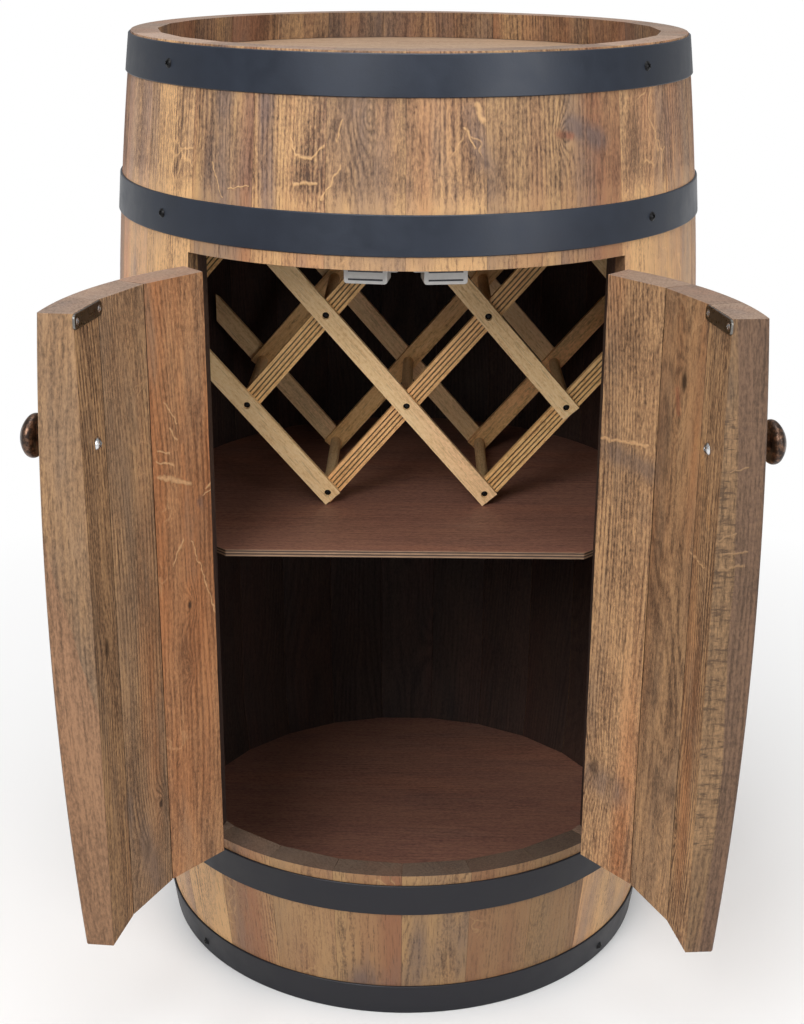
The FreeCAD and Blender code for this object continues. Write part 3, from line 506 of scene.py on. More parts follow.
# Marks on the doors' insides, with 0 at the free edges. The left door is on the minus side.
LEFT_STROKES = (
    ((-0.116, 0.560), (-0.127, 0.540), 0.0010), ((-0.107, 0.524), (-0.118, 0.520), 0.0012),
    ((-0.106, 0.516), (-0.122, 0.510), 0.0011), ((-0.107, 0.504), (-0.138, 0.491), 0.0021),
    ((-0.120, 0.539), (-0.125, 0.529), 0.0009), ((-0.128, 0.448), (-0.117, 0.430), 0.0011),
    ((-0.154, 0.484), (-0.162, 0.487), 0.0010), ((-0.150, 0.478), (-0.161, 0.482), 0.0010),
    ((-0.137, 0.445), (-0.159, 0.376), 0.0008),
)
LEFT_KNOTS = (
    ((-0.132, 0.392), 0.0026, 0.9), ((-0.128, 0.339), 0.0020, 0.4), ((-0.090, 0.235), 0.0028, 0.9),
    ((-0.068, 0.205), 0.0070, 0.35), ((-0.024, 0.398), 0.0055, 0.8),
)
LEFT_STAINS = (
    ((-0.148, 0.474), (-0.158, 0.464), 0.006, PURPLE), ((-0.050, 0.255), (-0.080, 0.170), 0.016, GREYED),
)
RIGHT_STROKES = (
    ((0.158, 0.525), (0.136, 0.528), 0.0016), ((0.136, 0.528), (0.110, 0.531), 0.0019),
    ((0.049, 0.468), (0.020, 0.467), 0.0011),
)
RIGHT_KNOTS = (
    ((0.070, 0.590), 0.0048, 0.9), ((0.101, 0.619), 0.0016, 0.8), ((0.074, 0.560), 0.0030, 0.4),
    ((0.148, 0.246), 0.0062, 0.6), ((0.039, 0.247), 0.0034, 0.8),
)
RIGHT_STAINS = (
    ((0.078, 0.582), (0.075, 0.566), 0.004, RUST), ((0.045, 0.552), (0.019, 0.503), 0.007, YELLOWED),
    ((0.165, 0.520), (0.105, 0.512), 0.013, GREYED), ((0.165, 0.238), (0.125, 0.235), 0.020, GREYED),
)

# On a free edge the places are (depth below the outside, height).
SAW_STROKES = (
    ((0.020, 0.499), (0.031, 0.495), 0.0012), ((0.012, 0.486), (0.030, 0.484), 0.0013),
    ((0.013, 0.476), (0.031, 0.473), 0.0014), ((0.014, 0.548), (0.026, 0.545), 0.0009),
)

DOOR_FINISH = {"seam": 0.00028, "cracks": 0.5, "roughness": 0.5, "mottle": 1.4, "figure": 1.15}
MATERIALS = {
    "outside": wood("stave_outside", OUTSIDE, mottle=1.5, cracks=0.8, worn_above=HOOP_EDGE_Z,
                    seam=0.00012, seam_colour=(0.12, 0.066, 0.040),
                    knots=OUTSIDE_KNOTS, strokes=OUTSIDE_STROKES, stains=OUTSIDE_STAINS),
    "side": wood("stave_side", darker(OUTSIDE, 0.45)),
    "end": wood("stave_end_grain", END_GRAIN, figure=0.3, relief=0.4),
    "sill_end": wood("sill_end_grain", darker(END_GRAIN, 0.66), figure=0.3, relief=0.4),
    "rim": wood("stave_rim_inside", darker(OUTSIDE, 0.66), mottle=1.3, cracks=0.4),
    "inside": wood("stave_inside", INSIDE, roughness=0.6),
    "door_left": wood("door_left_inside", DOOR_INSIDE, knots=LEFT_KNOTS, strokes=LEFT_STROKES,
                      stains=LEFT_STAINS, **DOOR_FINISH),
    "door_right": wood("door_right_inside", DOOR_INSIDE, knots=RIGHT_KNOTS, strokes=RIGHT_STROKES,
                       stains=RIGHT_STAINS, painted_low_shading=0.36, **DOOR_FINISH),
    "edge_left": wood("door_left_free_edge", FREE_EDGE, figure=0.7, painted_low_shading=-0.22,
                      zone=(0.1285, 0.245, (0.335, 0.178, 0.096))),
    # The right door's free edge and its outer layer are a darker copy of the left's: painted shade.
    "edge_right": wood("door_right_free_edge", darker(FREE_EDGE, 0.62), figure=0.8, strokes=SAW_STROKES,
                       sawn=(0.235, 0.60), zone=(0.0150, -0.022, (0.140, 0.080, 0.050))),
}


# ---- Mesh helpers

def new_object(name, mesh):
    made = bpy.data.objects.new(name, mesh)
    bpy.context.scene.collection.objects.link(made)
    return made


def baked(piece):
    """Apply a piece's modifiers."""
    graph = bpy.context.evaluated_depsgraph_get()
    mesh = bpy.data.meshes.new_from_object(piece.evaluated_get(graph))
    old = piece.data
    piece.modifiers.clear()
    piece.data = mesh
    mesh.name = piece.name
    bpy.data.meshes.remove(old)
    return piece


def rounded(piece, width):
    bevel = piece.modifiers.new("arris", "BEVEL")
    bevel.width = width
    bevel.segments = ARRIS_SEGMENTS
    bevel.limit_method = "ANGLE"
    bevel.angle_limit = SMOOTH_ANGLE
    return baked(piece)


def shaded(piece):
    """Smooth shading, with flat faces kept flat."""
    piece.data.shade_smooth()
    piece.data.set_sharp_from_angle(angle=SMOOTH_ANGLE)
    weighted = piece.modifiers.new("normals", "WEIGHTED_NORMAL")
    weighted.keep_sharp = True
    return baked(piece)


def cut(piece, tool):
    hole = piece.modifiers.new("cut", "BOOLEAN")
    hole.object = tool
    hole.solver = "EXACT"
    return baked(piece)


def copy_of(node):
    """A CAD node's mesh, with its corners joined up."""
    bm = bmesh.new()
    bm.from_mesh(frame["nodes"][node].data)
    bmesh.ops.remove_doubles(bm, verts=bm.verts, dist=SAME_POINT)
    return bm


def bridge(bm, a, b):
    """A band of faces between two closed loops of points."""
    for i in range(len(a)):
        j = (i + 1) % len(a)
        bm.faces.new((a[i], a[j], b[j], b[i]))


def from_bmesh(name, bm):
    bmesh.ops.recalc_face_normals(bm, faces=bm.faces)
    mesh = bpy.data.meshes.new(name)
    bm.to_mesh(mesh)
    bm.free()
    return new_object(name, mesh)


def write_board(mesh, to_wood, board, look=(0.0, 0.0, 0.3), spot=None):
    """Store what the shader reads, which Board lists."""
    layers = {"wood": to_wood, "board": board, "look": lambda point: look, "spot": spot or to_wood}
    for name, value_at in layers.items():
        layer = mesh.attributes.new(name, "FLOAT_VECTOR", "POINT")
        for datum, vert in zip(layer.data, mesh.vertices):
            datum.vector = value_at(vert.co)


# ---- Staves

ROUGH_WEAR = (45, 37, 11)  # how a worn corner varies with height, seed and side
SLOW_WEAR = (9, 53, 17)
DOOR_WEAR = 0.0008
LEVEL_REACH = 0.001  # a face this near to a level belongs to it


class Stave:
    """One stave between two angles. Its sides stand `gaps` back from those angles' planes, and
    `bevel` names the side, 0 or 1, that has a bevelled outer corner."""

    def __init__(self, start, end, low, high, seed, gaps=(0.0, 0.0), bevel=None, ragged=0.0002):
        self.start, self.end = start, end
        self.low, self.high = low, high
        self.seed = seed
        self.gaps = gaps
        self.bevel = bevel
        self.ragged = ragged
        self.middle = (start + end) / 2
        self.half_span = math.radians(end - start) / 2

    def wear(self, z, side):
        """How far an inner corner has worn back at a height."""
        rough, slow = [noise.noise(Vector((z * scales[0], self.seed * scales[1], side * scales[2])))
                       for scales in (ROUGH_WEAR, SLOW_WEAR)]
        return self.ragged * (0.55 + 0.5 * rough + 0.45 * slow)

    def side_points(self, z, side):
        """The corners before the outer arc on one side, the start (0) or the end (1), and the angle
        at which the arc stops there."""
        sign = 1 if side == 0 else -1
        angle = self.start if side == 0 else self.end
        gap = self.gaps[side]
        radius = outer_radius(z)
        out, along = outward(angle), sideways(angle) * sign
        wall = inner_radius(z) * math.cos(self.half_span)
        reach = (wall - gap * math.sin(self.half_span)) / math.cos(self.half_span)
        inner = out * reach + along * gap + sideways(self.middle) * sign * self.wear(z, side)
        outer_reach = math.sqrt(radius ** 2 - gap ** 2)
        turned = math.degrees(math.asin(gap / radius)) * sign
        if self.bevel == side:
            low_corner = out * (outer_reach - EDGE_BEVEL) + along * gap
            return [inner, low_corner], angle + turned + math.degrees(EDGE_BEVEL / radius) * sign
        return [inner], angle + turned

    def section(self, z):
        """The outline at a height."""
        first, start = self.side_points(z, 0)
        last, end = self.side_points(z, 1)
        radius = outer_radius(z)
        arc = [outward(angle) * radius for angle in spread(start, end, ARC_STEPS)]
        return [point + Vector((0, 0, z)) for point in first + arc + last[::-1]]

    def levels(self):
        """Heights of the cross-sections, with one wherever the inside changes."""
        fixed = [TAPER_HEIGHT, HEIGHT - TAPER_HEIGHT, HEAD_TOP]
        stops = [self.low] + [z for z in fixed if self.low < z < self.high] + [self.high]
        levels = [self.low]
        for a, b in zip(stops, stops[1:]):
            count = max(1, round((b - a) / LEVEL_STEP))
            levels += spread(a, b, count)[1:]
        return levels

    def solid(self, name):
        bm = bmesh.new()
        rings = [[bm.verts.new(point) for point in self.section(z)] for z in self.levels()]
        for a, b in zip(rings, rings[1:]):
            bridge(bm, a, b)
        bm.faces.new(rings[0][::-1])
        bm.faces.new(rings[-1])
        return from_bmesh(name, bm)

    def to_wood(self, point):
        """A point's place in the board: across it, into it and along it."""
        flat = Vector((point.x, point.y, 0))
        depth = outer_radius(point.z) - flat.dot(outward(self.middle))
        return flat.dot(sideways(self.middle)), depth, point.z

    def finish_of(self, centre, normal, door):
        """The material that a face gets, by where it is and where it looks."""
        facing = normal.dot(outward(self.middle))
        if abs(normal.z) > 0.7:
            return "sill_end" if abs(centre.z - SILL_Z) < LEVEL_REACH else "end"
        if self.bevel is not None:
            away = normal.dot(sideways(0.0)) * (1 if self.bevel == 1 else -1)
            if away > 0.35 and facing < 0.8:
                return "edge_" + door
        if facing > 0.5:
            return "outside"
        if facing >= -0.5:
            return "side"
        if door:
            return "door_" + door
        # Below the rim the inside gets the near-black painted shade.
        return "rim" if centre.z > HEAD_TOP - LEVEL_REACH else "inside"

    def dress(self, piece, tone, look, door):
        """Give each face its finish and each point its place in the wood."""
        mesh = piece.data
        slope = math.tan(self.half_span)
        radius = DOOR_SPOT_RADIUS if door else SPOT_RADIUS

        def board(point):
            across, depth, height = self.to_wood(point)
            return (outer_radius(height) - depth) * slope - self.gaps[across > 0], self.seed, tone

        def spot(point):
            across = self.to_wood(point)[0]
            return math.radians(self.middle) * radius + across, 0.0, point.z

        write_board(mesh, self.to_wood, board, look, spot)
        finishes = [self.finish_of(face.center, face.normal, door) for face in mesh.polygons]
        names = sorted(set(finishes))
        mesh.materials.clear()
        for name in names:
            mesh.materials.append(MATERIALS[name])
        for face, finish in zip(mesh.polygons, finishes):
            face.material_index = names.index(finish)


def croze_cutter():
    """The grooves that the heads sit in."""
    bm = bmesh.new()
    for node in ("top_head", "bottom_head"):
        low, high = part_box(node)
        radius = high.x + GROOVE_CLEARANCE
        depth = high.z - low.z + GROOVE_CLEARANCE
        middle = Matrix.Translation((0, 0, low.z + depth / 2))
        bmesh.ops.create_cone(bm, cap_ends=True, segments=ROUND_STEPS, radius1=radius, radius2=radius,
                              depth=depth, matrix=middle)
    return from_bmesh("croze_cutter", bm)


def jamb_cutter(side):
    """The gap that the hinge leaves stand in, and the relief beside it."""
    half = JAMB_GAP / 2
    wall = HINGE_RADIUS - INNER_RADIUS
    depth = wall + CUT_PAST_INSIDE
    widest = half + JAMB_RELIEF * (depth - LEAF_WIDTH) / (wall - LEAF_WIDTH)
    outline = [(-half, -CUT_PAST_OUTSIDE), (half, -CUT_PAST_OUTSIDE), (half, LEAF_WIDTH),
               (widest, depth), (-half, depth)]
    bm = bmesh.new()
    low, high = [[bm.verts.new((side * x, y, z)) for x, y in outline] for z in (SILL_Z, HEADER_Z)]
    bm.faces.new(low)
    bm.faces.new(high)
    bridge(bm, low, high)
    slot = from_bmesh("jamb_cutter", bm)
    hinge = Matrix.Translation(outward(side * HINGE_ANGLE) * HINGE_RADIUS)
    slot.data.transform(hinge @ Matrix.Rotation(math.radians(side * HINGE_ANGLE), 4, "Z"))
    return slot


def swing(door):
    """How a closed door turns to where it stands at rest."""
    sign = 1 if door == "right" else -1
    pivot = outward(sign * HINGE_ANGLE) * HINGE_RADIUS
    turn = Matrix.Rotation(math.radians(DOOR_OPEN[door]), 4, "Z")
    return Matrix.Translation(pivot) @ turn @ Matrix.Translation(-pivot)


def seat_cutter(door):
    """The strike plate on the closed door, a little grown, for the seat of its far end."""
    bm = copy_of("door_%s_strike_plate" % door)
    bmesh.ops.holes_fill(bm, edges=bm.edges)
    middle = sum((vert.co for vert in bm.verts), Vector()) / len(bm.verts)
    for vert in bm.verts:
        vert.co = middle + (vert.co - middle) * SEAT_GROWTH
    cutter = from_bmesh("seat_cutter", bm)
    cutter.data.transform(swing(door).inverted())
    return cutter


def make_stave(name, stave, tone, look, replaced, cutters, door=None):
    """Cut and dress one stave. A door's are dressed shut, and then swung open."""
    piece = rounded(stave.solid(name), ARRIS)
    for cutter in cutters:
        piece = cut(piece, cutter)
    stave.dress(piece, tone, look, door)
    shaded(piece)
    body = "cabinet"
    if door:
        piece.data.transform(swing(door))
        body = "door_" + door
    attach(piece, body)
    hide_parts(replaced)


# How much lighter or darker each board is than the rest, partly its own tone and partly painted light
# and shade (the boards to the left lighter, the sill's darker), and its look: redness, greyness, and how
# flat it was sawn. Short staves are listed from left to right, and a door's from its free edge.
HEADER_BOARDS = ((-0.04, (0.30, 0.26, 0.15)), (0.04, (0.30, 0.0, 0.05)), (-0.04, (0.0, 0.28, 0.75)),
                 (0.0, (0.05, 0.16, 0.30)), (-0.18, (0.20, 0.14, 0.15)), (-0.20, (0.38, 0.05, 0.30)))
SILL_BOARDS = ((-0.10, (0.26, 0.0, 0.15)), (-0.26, (0.16, 0.10, 0.25)), (-0.32, (0.20, 0.12, 0.30)),
               (-0.34, (0.0, 0.20, 0.95)), (-0.40, (0.26, 0.05, 0.05)), (-0.44, (0.16, 0.14, 0.30)))
# The long staves that show beside the doors, from 0 at the right jamb, and what the others draw from.
BESIDE_BOARDS = {0: (0.20, (0.08, 0.10, 0.60)), 1: (0.18, (0.15, 0.20, 0.20)),
                 BACK_STAVES - 1: (0.34, (0.0, 0.0, 0.05)), BACK_STAVES - 2: (0.56, (0.12, 0.34, 0.10))}
BACK_TONES = (-0.10, 0.08)
MOST_STAIN = 0.35
DOOR_BOARDS = {
    "left": ((-0.02, (0.05, 0.12, 0.20)), (0.16, (0.0, 0.24, 0.15)), (0.12, (0.42, 0.0, 0.30))),
    "right": ((-0.02, (0.05, 0.05, 0.25)), (-0.12, (0.08, 0.22, 0.85)), (0.04, (0.14, 0.0, 0.15))),
}


def barrel_staves():
    random.seed(12)
    croze = croze_cutter()
    jambs = {0: [jamb_cutter(1)], BACK_STAVES - 1: [jamb_cutter(-1)]}
    span = (360 - 2 * HINGE_ANGLE) / BACK_STAVES
    for i in range(BACK_STAVES):
        start = HINGE_ANGLE + i * span
        node = "stave_%02d" % (i + 1)
        cutters = [croze] + jambs.get(i, [])
        stave = Stave(start, start + span, 0.0, HEIGHT, random.random())
        redness, greyness = random.uniform(0.0, MOST_STAIN), random.uniform(0.0, MOST_STAIN)
        any_look = (redness, greyness, random.uniform(0.0, 1.0) ** 2)
        tone, look = BESIDE_BOARDS.get(i, (random.uniform(*BACK_TONES), any_look))
        make_stave("barrel_" + node, stave, tone, look, node, cutters)
    span = 2 * HINGE_ANGLE / FRONT_STAVES
    for i in range(FRONT_STAVES):
        start = i * span - HINGE_ANGLE
        header = Stave(start, start + span, HEADER_Z, HEIGHT, random.random())
        make_stave("header_stave_%d" % (i + 1), header, *HEADER_BOARDS[i], "header_staves", [croze])
        sill = Stave(start, start + span, 0.0, SILL_Z, random.random())
        make_stave("sill_stave_%d" % (i + 1), sill, *SILL_BOARDS[i], "sill_staves", [croze])
    for cutter in [croze, *jambs[0], *jambs[BACK_STAVES - 1]]:
        bpy.data.objects.remove(cutter)


def door_staves():
    for door, sign in (("right", 1), ("left", -1)):
        seat = seat_cutter(door)
        free_side = 0 if sign > 0 else 1
        for i, board in enumerate(DOOR_BOARDS[door]):
            start, end = DOOR_SEAMS[i], DOOR_SEAMS[i + 1]
            gaps = (MEETING_GAP / 2 if i == 0 else 0.0, JAMB_GAP / 2 if i == 2 else 0.0)
            if sign < 0:
                start, end = -end, -start
                gaps = gaps[::-1]
            bevel = free_side if i == 0 else None
            stave = Stave(start, end, DOOR_BOTTOM, DOOR_TOP, random.random(), gaps, bevel, DOOR_WEAR)
            node = "door_%s_stave_%d" % (door, i + 1)
            make_stave(node + "_wood", stave, *board, node, [seat] if i == 1 else [], door)
        bpy.data.objects.remove(seat)


barrel_staves()
door_staves()


# ---- Copies of CAD pieces with their arrises eased

FLAT_ANGLE = math.radians(0.5)  # between faces that lie in one plane


def eased(name, node, width):
    """A copy of a CAD node, with its flat faces made whole and its arrises rounded."""
    bm = copy_of(node)
    bmesh.ops.dissolve_limit(bm, angle_limit=FLAT_ANGLE, verts=bm.verts, edges=bm.edges)
    piece = from_bmesh(name, bm)
    if width:
        rounded(piece, width)
    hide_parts(node)
    return piece


def body_of(node):
    return next(body for body, nodes in frame["record"]["behaviour"]["bodies"].items() if node in nodes)


def settle(piece, node, material):
    """Finish a piece, and ride it on the body of the node that it stands for."""
    piece.data.materials.clear()
    piece.data.materials.append(material)
    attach(piece, body_of(node))


# ---- Bottle lattice

SLAT_PITCH = 0.0523  # between slats of one layer, across them
COLUMN_PITCH = 0.0692
ROW_PITCH = 0.0799
DOWEL_CELL = 0.03  # tells one dowel's wood from the next one's
GROOVE_FACES = (0.0002, 0.0011)  # how far behind the front a slat's grooves have faces
RACK_PALE = Palette(pale=(1.0, 0.72, 0.40), middle=(0.92, 0.62, 0.31), dark=(0.72, 0.43, 0.19),
                    red=(0.90, 0.50, 0.27), grey=(0.80, 0.56, 0.31))
RACK_GOLD = Palette(pale=(1.0, 0.64, 0.29), middle=(0.88, 0.52, 0.205), dark=(0.56, 0.27, 0.095),
                    red=(0.86, 0.42, 0.18), grey=(0.72, 0.46, 0.22))


def shade_grooves(piece, node, material):
    """Paint shade on the floors and sides of the grooves in the front."""
    piece.data.materials.append(material)
    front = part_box(node)[0].y
    for face in piece.data.polygons:
        if GROOVE_FACES[0] < face.center.y - front < GROOVE_FACES[1]:
            face.material_index = 1


def rack_slats():
    pale = wood("rack_pine_smooth", RACK_PALE, figure=0.6, relief=0.3, roughness=0.45)
    gold = wood("rack_pine_grooved", RACK_GOLD, figure=0.7, relief=0.3, roughness=0.45)
    # A much darker copy of the slats' wood, painted shade in the grooves.
    groove = wood("rack_pine_groove", darker(RACK_GOLD, 0.22), figure=0.7, relief=0.3)
    for layer in ("front_falling", "front_rising", "back_rising", "back_falling"):
        node = "rack_%s_slats" % layer
        sign = -1 if "falling" in layer else 1
        along = Vector((sign * COLUMN_PITCH, 0, ROW_PITCH)).normalized()
        across = Vector((along.z, 0, -along.x))
        piece = eased("lattice_" + layer, node, 0.0003)

        def to_wood(point):
            return point.dot(across), point.y, point.dot(along)

        def board(point):
            return 1.0, round(point.dot(across) / SLAT_PITCH) * 0.37 + len(layer) * 0.11, 0.0

        write_board(piece.data, to_wood, board, (0.0, 0.0, 0.5))
        settle(piece, node, gold if "rising" in layer else pale)
        if layer == "front_rising":
            shade_grooves(piece, node, groove)
        shaded(piece)


def rack_dowels():
    material = wood("rack_dowel_wood", RACK_PALE, figure=0.4, relief=0.3, roughness=0.45)
    piece = eased("lattice_dowels", "rack_dowels", 0.0)

    def board(point):
        return 1.0, round(point.x / DOWEL_CELL) + round(point.z / DOWEL_CELL), 0.0

    write_board(piece.data, lambda p: (p.x, p.z, p.y), board)
    settle(piece, "rack_dowels", material)
    shaded(piece)


rack_slats()
rack_dowels()


# ---- Heads, shelf and cleats

TOP_HEAD_WOOD = Palette(pale=(0.42, 0.29, 0.19), middle=(0.34, 0.225, 0.145), dark=(0.26, 0.165, 0.105),
                        red=(0.34, 0.21, 0.13), grey=(0.31, 0.21, 0.15))
SHELF_WOOD = Palette(pale=(0.34, 0.165, 0.105), middle=(0.25, 0.115, 0.082), dark=(0.16, 0.075, 0.058),
                     red=(0.36, 0.145, 0.085), grey=(0.19, 0.105, 0.085))
SHELF_PLIES = 5
VENEER_STREAKS = (90.0, 90.0, 1500.0)


def head(name, node, palette, roughness):
    """A round head, with its grain from side to side."""
    material = wood(name + "_wood", palette, figure=0.4, relief=0.4, roughness=roughness)
    piece = eased(name, node, 0.0005)
    write_board(piece.data, lambda p: (p.y, p.z, p.x), lambda p: (1.0, 0.31, 0.0))
    settle(piece, node, material)
    shaded(piece)


def plywood():
    """Layers of veneer, seen on the shelf's front edge."""
    g = Graph("shelf_edge_plies")
    own = g.objects_own()
    low = bottom_of("shelf")
    height = g.math("SUBTRACT", g.parts(own)[2], low)
    ply = g.math("DIVIDE", height, (top_of("shelf") - low) / SHELF_PLIES)
    odd = g.span(g.math("PINGPONG", ply, 1.0), 0.42, 0.58)
    streak = g.grained(own, VENEER_STREAKS, detail=3.0, roughness=0.6)
    layer = g.mix(odd, (0.060, 0.032, 0.022), (0.36, 0.22, 0.13))
    colour = g.scaled(layer, g.span(streak, 0.25, 0.75, 0.62, 1.25))
    return g.finish(colour, 0.6, g.bump(streak, 0.0002))


def shelf():
    top = wood("shelf_veneer", SHELF_WOOD, figure=0.4, relief=0.25, roughness=0.5)
    piece = eased("shelf_board", "shelf", 0.0004)
    write_board(piece.data, lambda p: (p.y, p.z, p.x), lambda p: (1.0, 0.7, 0.0))
    settle(piece, "shelf", top)
    piece.data.materials.append(plywood())
    for face in piece.data.polygons:
        face.material_index = 1 if abs(face.normal.z) < 0.5 else 0
    shaded(piece)
    cleats = eased("shelf_cleat_blocks", "shelf_cleats", 0.0006)
    write_board(cleats.data, lambda p: (p.x, p.y, p.z), lambda p: (1.0, 0.2, 0.0))
    # The cleats take the inside's near-black painted shade.
    settle(cleats, "shelf_cleats", MATERIALS["inside"])
    shaded(cleats)


head("upper_head", "top_head", TOP_HEAD_WOOD, 0.5)
head("lower_head", "bottom_head", SHELF_WOOD, 0.55)
shelf()


# ---- Metal, plastic and other finishes

METAL_RELIEF = 0.00005
FINE_GRAIN = 14  # how much finer the surface is than the shade's patches


def metal(name, colour, roughness, scale, metallic=1.0, spread=0.25):
    """Metal or paint with faint uneven colour, shine and surface."""
    g = Graph(name)
    own = g.objects_own()
    broad = g.noise(own, scale, detail=4.0, roughness=0.6)
    fine = g.noise(own, scale * FINE_GRAIN, detail=2.0)
    shade = g.mix(g.span(broad, 0.3, 0.7), tinted(colour, 1 - spread), tinted(colour, 1 + spread))
    rough = g.span(broad, 0.3, 0.7, roughness - 0.06, roughness + 0.06)
    return g.finish(shade, rough, g.bump(fine, METAL_RELIEF), metallic)


def bronze():
    """Dark patina with brown metal rubbed through."""
    g = Graph("knob_antique_bronze")
    own = g.objects_own()
    patches = g.noise(own, 260.0, detail=4.0, roughness=0.7)
    worn = g.span(patches, 0.46, 0.62)
    colour = g.mix(worn, (0.040, 0.026, 0.020), (0.19, 0.105, 0.066))
    return g.finish(colour, g.span(patches, 0.3, 0.7, 0.42, 0.30), g.bump(patches, 0.0002, 0.5), 0.7)


PAINT = {"metallic": 0.2, "scale": 45.0, "spread": 0.12}
FINISHES = {
    # The upper hoops' slate blue is partly the paint's colour and partly a painted bluish reflection.
    "hoop": metal("hoop_slate_paint_and_reflection", (0.016, 0.022, 0.036), 0.40, **PAINT),
    # The lower hoops' darker copy of the paint is painted shade.
    "low_hoop_shaded": metal("hoop_paint_painted_shade", (0.0065, 0.0065, 0.0110), 0.48, **PAINT),
    "black": metal("screw_black_oxide", (0.004, 0.004, 0.005), 0.38, 300.0, metallic=0.6),
    "plastic": metal("catch_grey_plastic", (0.58, 0.575, 0.56), 0.45, 200.0, metallic=0.0, spread=0.06),
    # The pole plates are dark as painted shade, so that they read as recessed slots.
    "pole": metal("catch_pole_steel_painted_shade", (0.055, 0.055, 0.060), 0.40, 400.0, spread=0.15),
    "ferrite": metal("catch_ferrite", (0.05, 0.05, 0.05), 0.7, 400.0, metallic=0.0),
    "bronze": bronze(),
    "strike": metal("strike_gunmetal", (0.20, 0.19, 0.175), 0.30, 250.0, spread=0.2),
    "zinc": metal("screw_bright_zinc", (0.72, 0.73, 0.74), 0.22, 300.0, spread=0.1),
    "brass": metal("hinge_antique_brass", (0.36, 0.27, 0.13), 0.36, 180.0),
}

# CAD pieces that keep their shape, by finish.
PLAIN_NODES = {
    "black": ("hoop_screws", "rack_screws"),
    "plastic": ("catch_body_left", "catch_body_right"),
    "pole": ("catch_pole_plates",),
    "ferrite": ("catch_magnets",),
    "bronze": ("door_left_knob", "door_right_knob"),
    "strike": ("door_left_strike_plate", "door_right_strike_plate"),
    "zinc": ("catch_screws", "door_left_screws", "door_right_screws",
             "door_left_knob_bolt", "door_right_knob_bolt"),
    "brass": ("hinge_frame_leaves", "door_left_hinge_leaves", "door_right_hinge_leaves",
              "hinge_frame_screws", "hinge_pins"),
}

for finish, nodes in PLAIN_NODES.items():
    for node in nodes:
        for material_slot in frame["nodes"][node].material_slots:
            material_slot.link = "OBJECT"
            material_slot.material = FINISHES[finish]


# ---- Hoops

HOOP_CLEARANCE = 0.00015
HOOP_THICKNESS = 0.0016
HOOP_EDGE = 0.0006  # rounding of a hoop's edges
HOOP_INNER_STEPS = 6
HOOP_OUTER_STEPS = 8


def hoop_skin(z, offset):
    """A point that stands out from the bulge by an offset."""
    lean = math.asin((z - BULGE.y) / BULGE_RADIUS)
    return outer_radius(z) + offset / math.cos(lean), z


def hoop_profile(low, high):
    """Section of a hoop as a closed loop: bent to the bulge, with rounded edges."""
    outside = HOOP_CLEARANCE + HOOP_THICKNESS
    inner = [hoop_skin(z, HOOP_CLEARANCE) for z in spread(low, high, HOOP_INNER_STEPS)]
    outer = []
    for z in spread(low, high, HOOP_OUTER_STEPS):
        past = max(0.0, HOOP_EDGE - min(z - low, high - z))
        drop = HOOP_EDGE - math.sqrt(max(0.0, HOOP_EDGE ** 2 - past ** 2))
        outer.append(hoop_skin(z, outside - drop))
    outer.insert(1, hoop_skin(low + HOOP_EDGE, outside))
    outer.insert(-1, hoop_skin(high - HOOP_EDGE, outside))
    return inner[::-1] + outer


def hoop(node):
    low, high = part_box(node)
    section = hoop_profile(low.z, high.z)
    bm = bmesh.new()
    rings = []
    for turn in spread(0.0, math.tau, HOOP_STEPS)[:-1]:
        rings.append([bm.verts.new((r * math.cos(turn), r * math.sin(turn), z)) for r, z in section])
    for a, b in zip(rings, rings[1:] + rings[:1]):
        bridge(bm, a, b)
    piece = from_bmesh(node + "_band", bm)
    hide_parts(node)
    # Hoops below the middle take the darker copy of the paint, which is painted shade.
    finish = "hoop" if low.z > HEIGHT / 2 else "low_hoop_shaded"
    settle(piece, node, FINISHES[finish])
    shaded(piece)


for node in ("hoop_top", "hoop_upper", "hoop_lower", "hoop_bottom"):
    hoop(node)


# ---- Floor, lights and camera

FLOOR_REACH = 6.0
FLOOR_SHADE = ((0.38, 0.38, 0.38), (0.42, 0.42, 0.42))  # as it lights the cabinet
FLOOR_SEEN = (0.94, 0.94, 0.94)  # by the camera and in reflections
FLOOR_FADE = (0.35, 1.1)  # how far off it turns white
ROOM_LIGHT = 0.45


def floor():
    """Pale near the cabinet, where its shadow lies, and fading to white further off."""
    bm = bmesh.new()
    bmesh.ops.create_grid(bm, x_segments=1, y_segments=1, size=FLOOR_REACH)
    made = from_bmesh("studio_floor", bm)
    g = Graph("studio_floor_paint")
    own = g.objects_own()
    grain = g.noise(own, 3.0, detail=3.0)
    path = g.node("LightPath")
    seen = g.math("MAXIMUM", path, path.node.outputs["Is Glossy Ray"])
    colour = g.mix(seen, g.mix(grain, *FLOOR_SHADE), FLOOR_SEEN)
    g.finish(colour, 0.9, g.bump(grain, 0.0001), specular=0.1)
    far = g.span(g.measure("LENGTH", own), *FLOOR_FADE)
    white = g.node("Emission", {"Color": (1.0, 1.0, 1.0, 1.0), "Strength": 1.0})
    both = g.node("MixShader", {0: g.math("MULTIPLY", far, seen), 1: g.shader.outputs[0], 2: white})
    g.feed(g.tree.nodes["Material Output"].inputs["Surface"], both)
    made.data.materials.append(g.material)


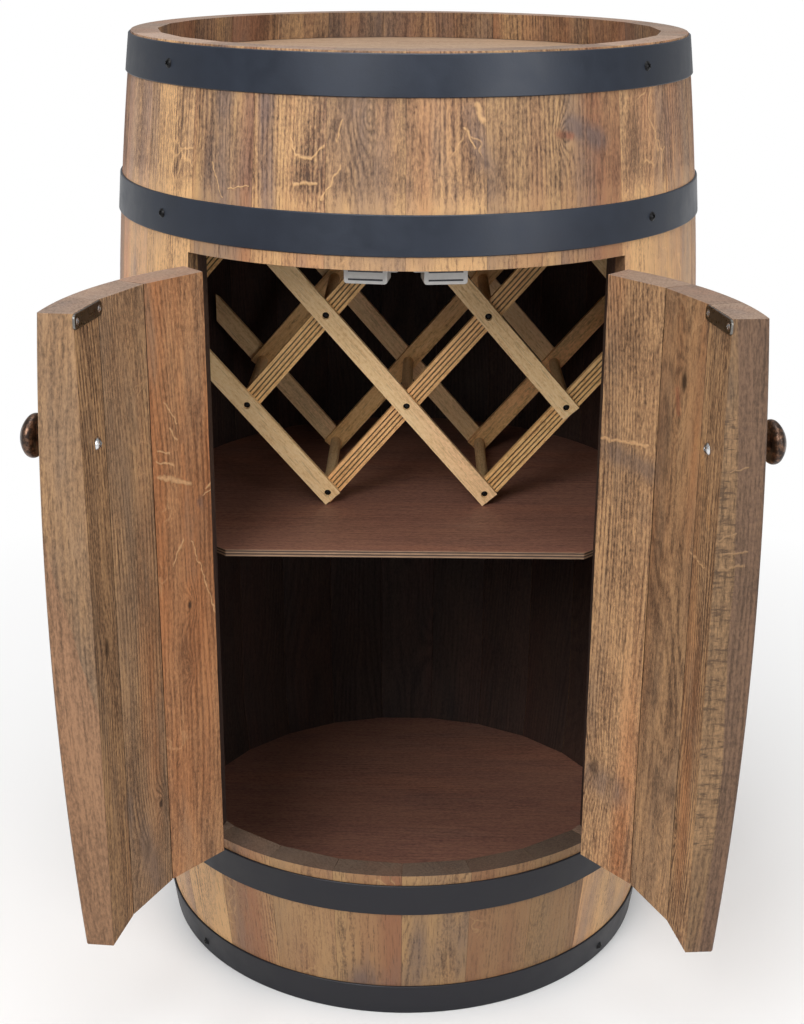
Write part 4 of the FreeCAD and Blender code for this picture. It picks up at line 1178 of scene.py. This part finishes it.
def area_light(name, stand, target, size, power):
    light = bpy.data.lights.new(name, "AREA")
    light.shape = "RECTANGLE"
    light.size, light.size_y = size
    light.energy = power
    made = new_object(name, light)
    made.location = stand
    made.rotation_euler = (Vector(target) - Vector(stand)).to_track_quat("-Z", "Y").to_euler()


def world():
    """An even pale room, which the camera sees as white."""
    made = bpy.data.worlds.new("studio")
    bpy.context.scene.world = made
    made.use_nodes = True
    tree = made.node_tree
    background = tree.nodes["Background"]
    background.inputs["Color"].default_value = (1.0, 1.0, 1.0, 1.0)
    path = tree.nodes.new("ShaderNodeLightPath")
    shown = tree.nodes.new("ShaderNodeMapRange")
    shown.inputs["To Min"].default_value = ROOM_LIGHT
    shown.inputs["To Max"].default_value = 1.0
    tree.links.new(path.outputs["Is Camera Ray"], shown.inputs["Value"])
    tree.links.new(shown.outputs[0], background.inputs["Strength"])


CAMERA_PLACE = Vector((0.0106, -1.4289, 0.9082))
CAMERA_TILT = 0.3526  # down from level, in radians
CAMERA_TURN = 0.0102
CAMERA_ROLL = 0.0053
FOCAL_PIXELS = 1659.07  # for an image 1024 pixels high
IMAGE_HEIGHT = 1024
SENSOR = 36.0


def camera():
    lens = bpy.data.cameras.new("camera")
    lens.sensor_width = SENSOR
    lens.lens = FOCAL_PIXELS / IMAGE_HEIGHT * SENSOR
    made = new_object("camera", lens)
    turn = Matrix.Rotation(CAMERA_TURN, 4, "Z") @ Matrix.Rotation(math.pi / 2 - CAMERA_TILT, 4, "X")
    made.matrix_world = Matrix.Translation(CAMERA_PLACE) @ turn @ Matrix.Rotation(CAMERA_ROLL, 4, "Z")
    bpy.context.scene.camera = made


floor()
world()
area_light("key", stand=(-1.1, -2.6, 2.3), target=(0, 0, 0.45), size=(1.6, 1.6), power=60.0)
area_light("fill", stand=(1.9, -2.2, 1.3), target=(0, 0, 0.45), size=(1.4, 1.8), power=26.0)
area_light("top", stand=(0, -0.3, 2.6), target=(0, 0, 0.6), size=(1.6, 1.6), power=30.0)
camera()
bpy.context.scene.view_settings.view_transform = "Standard"
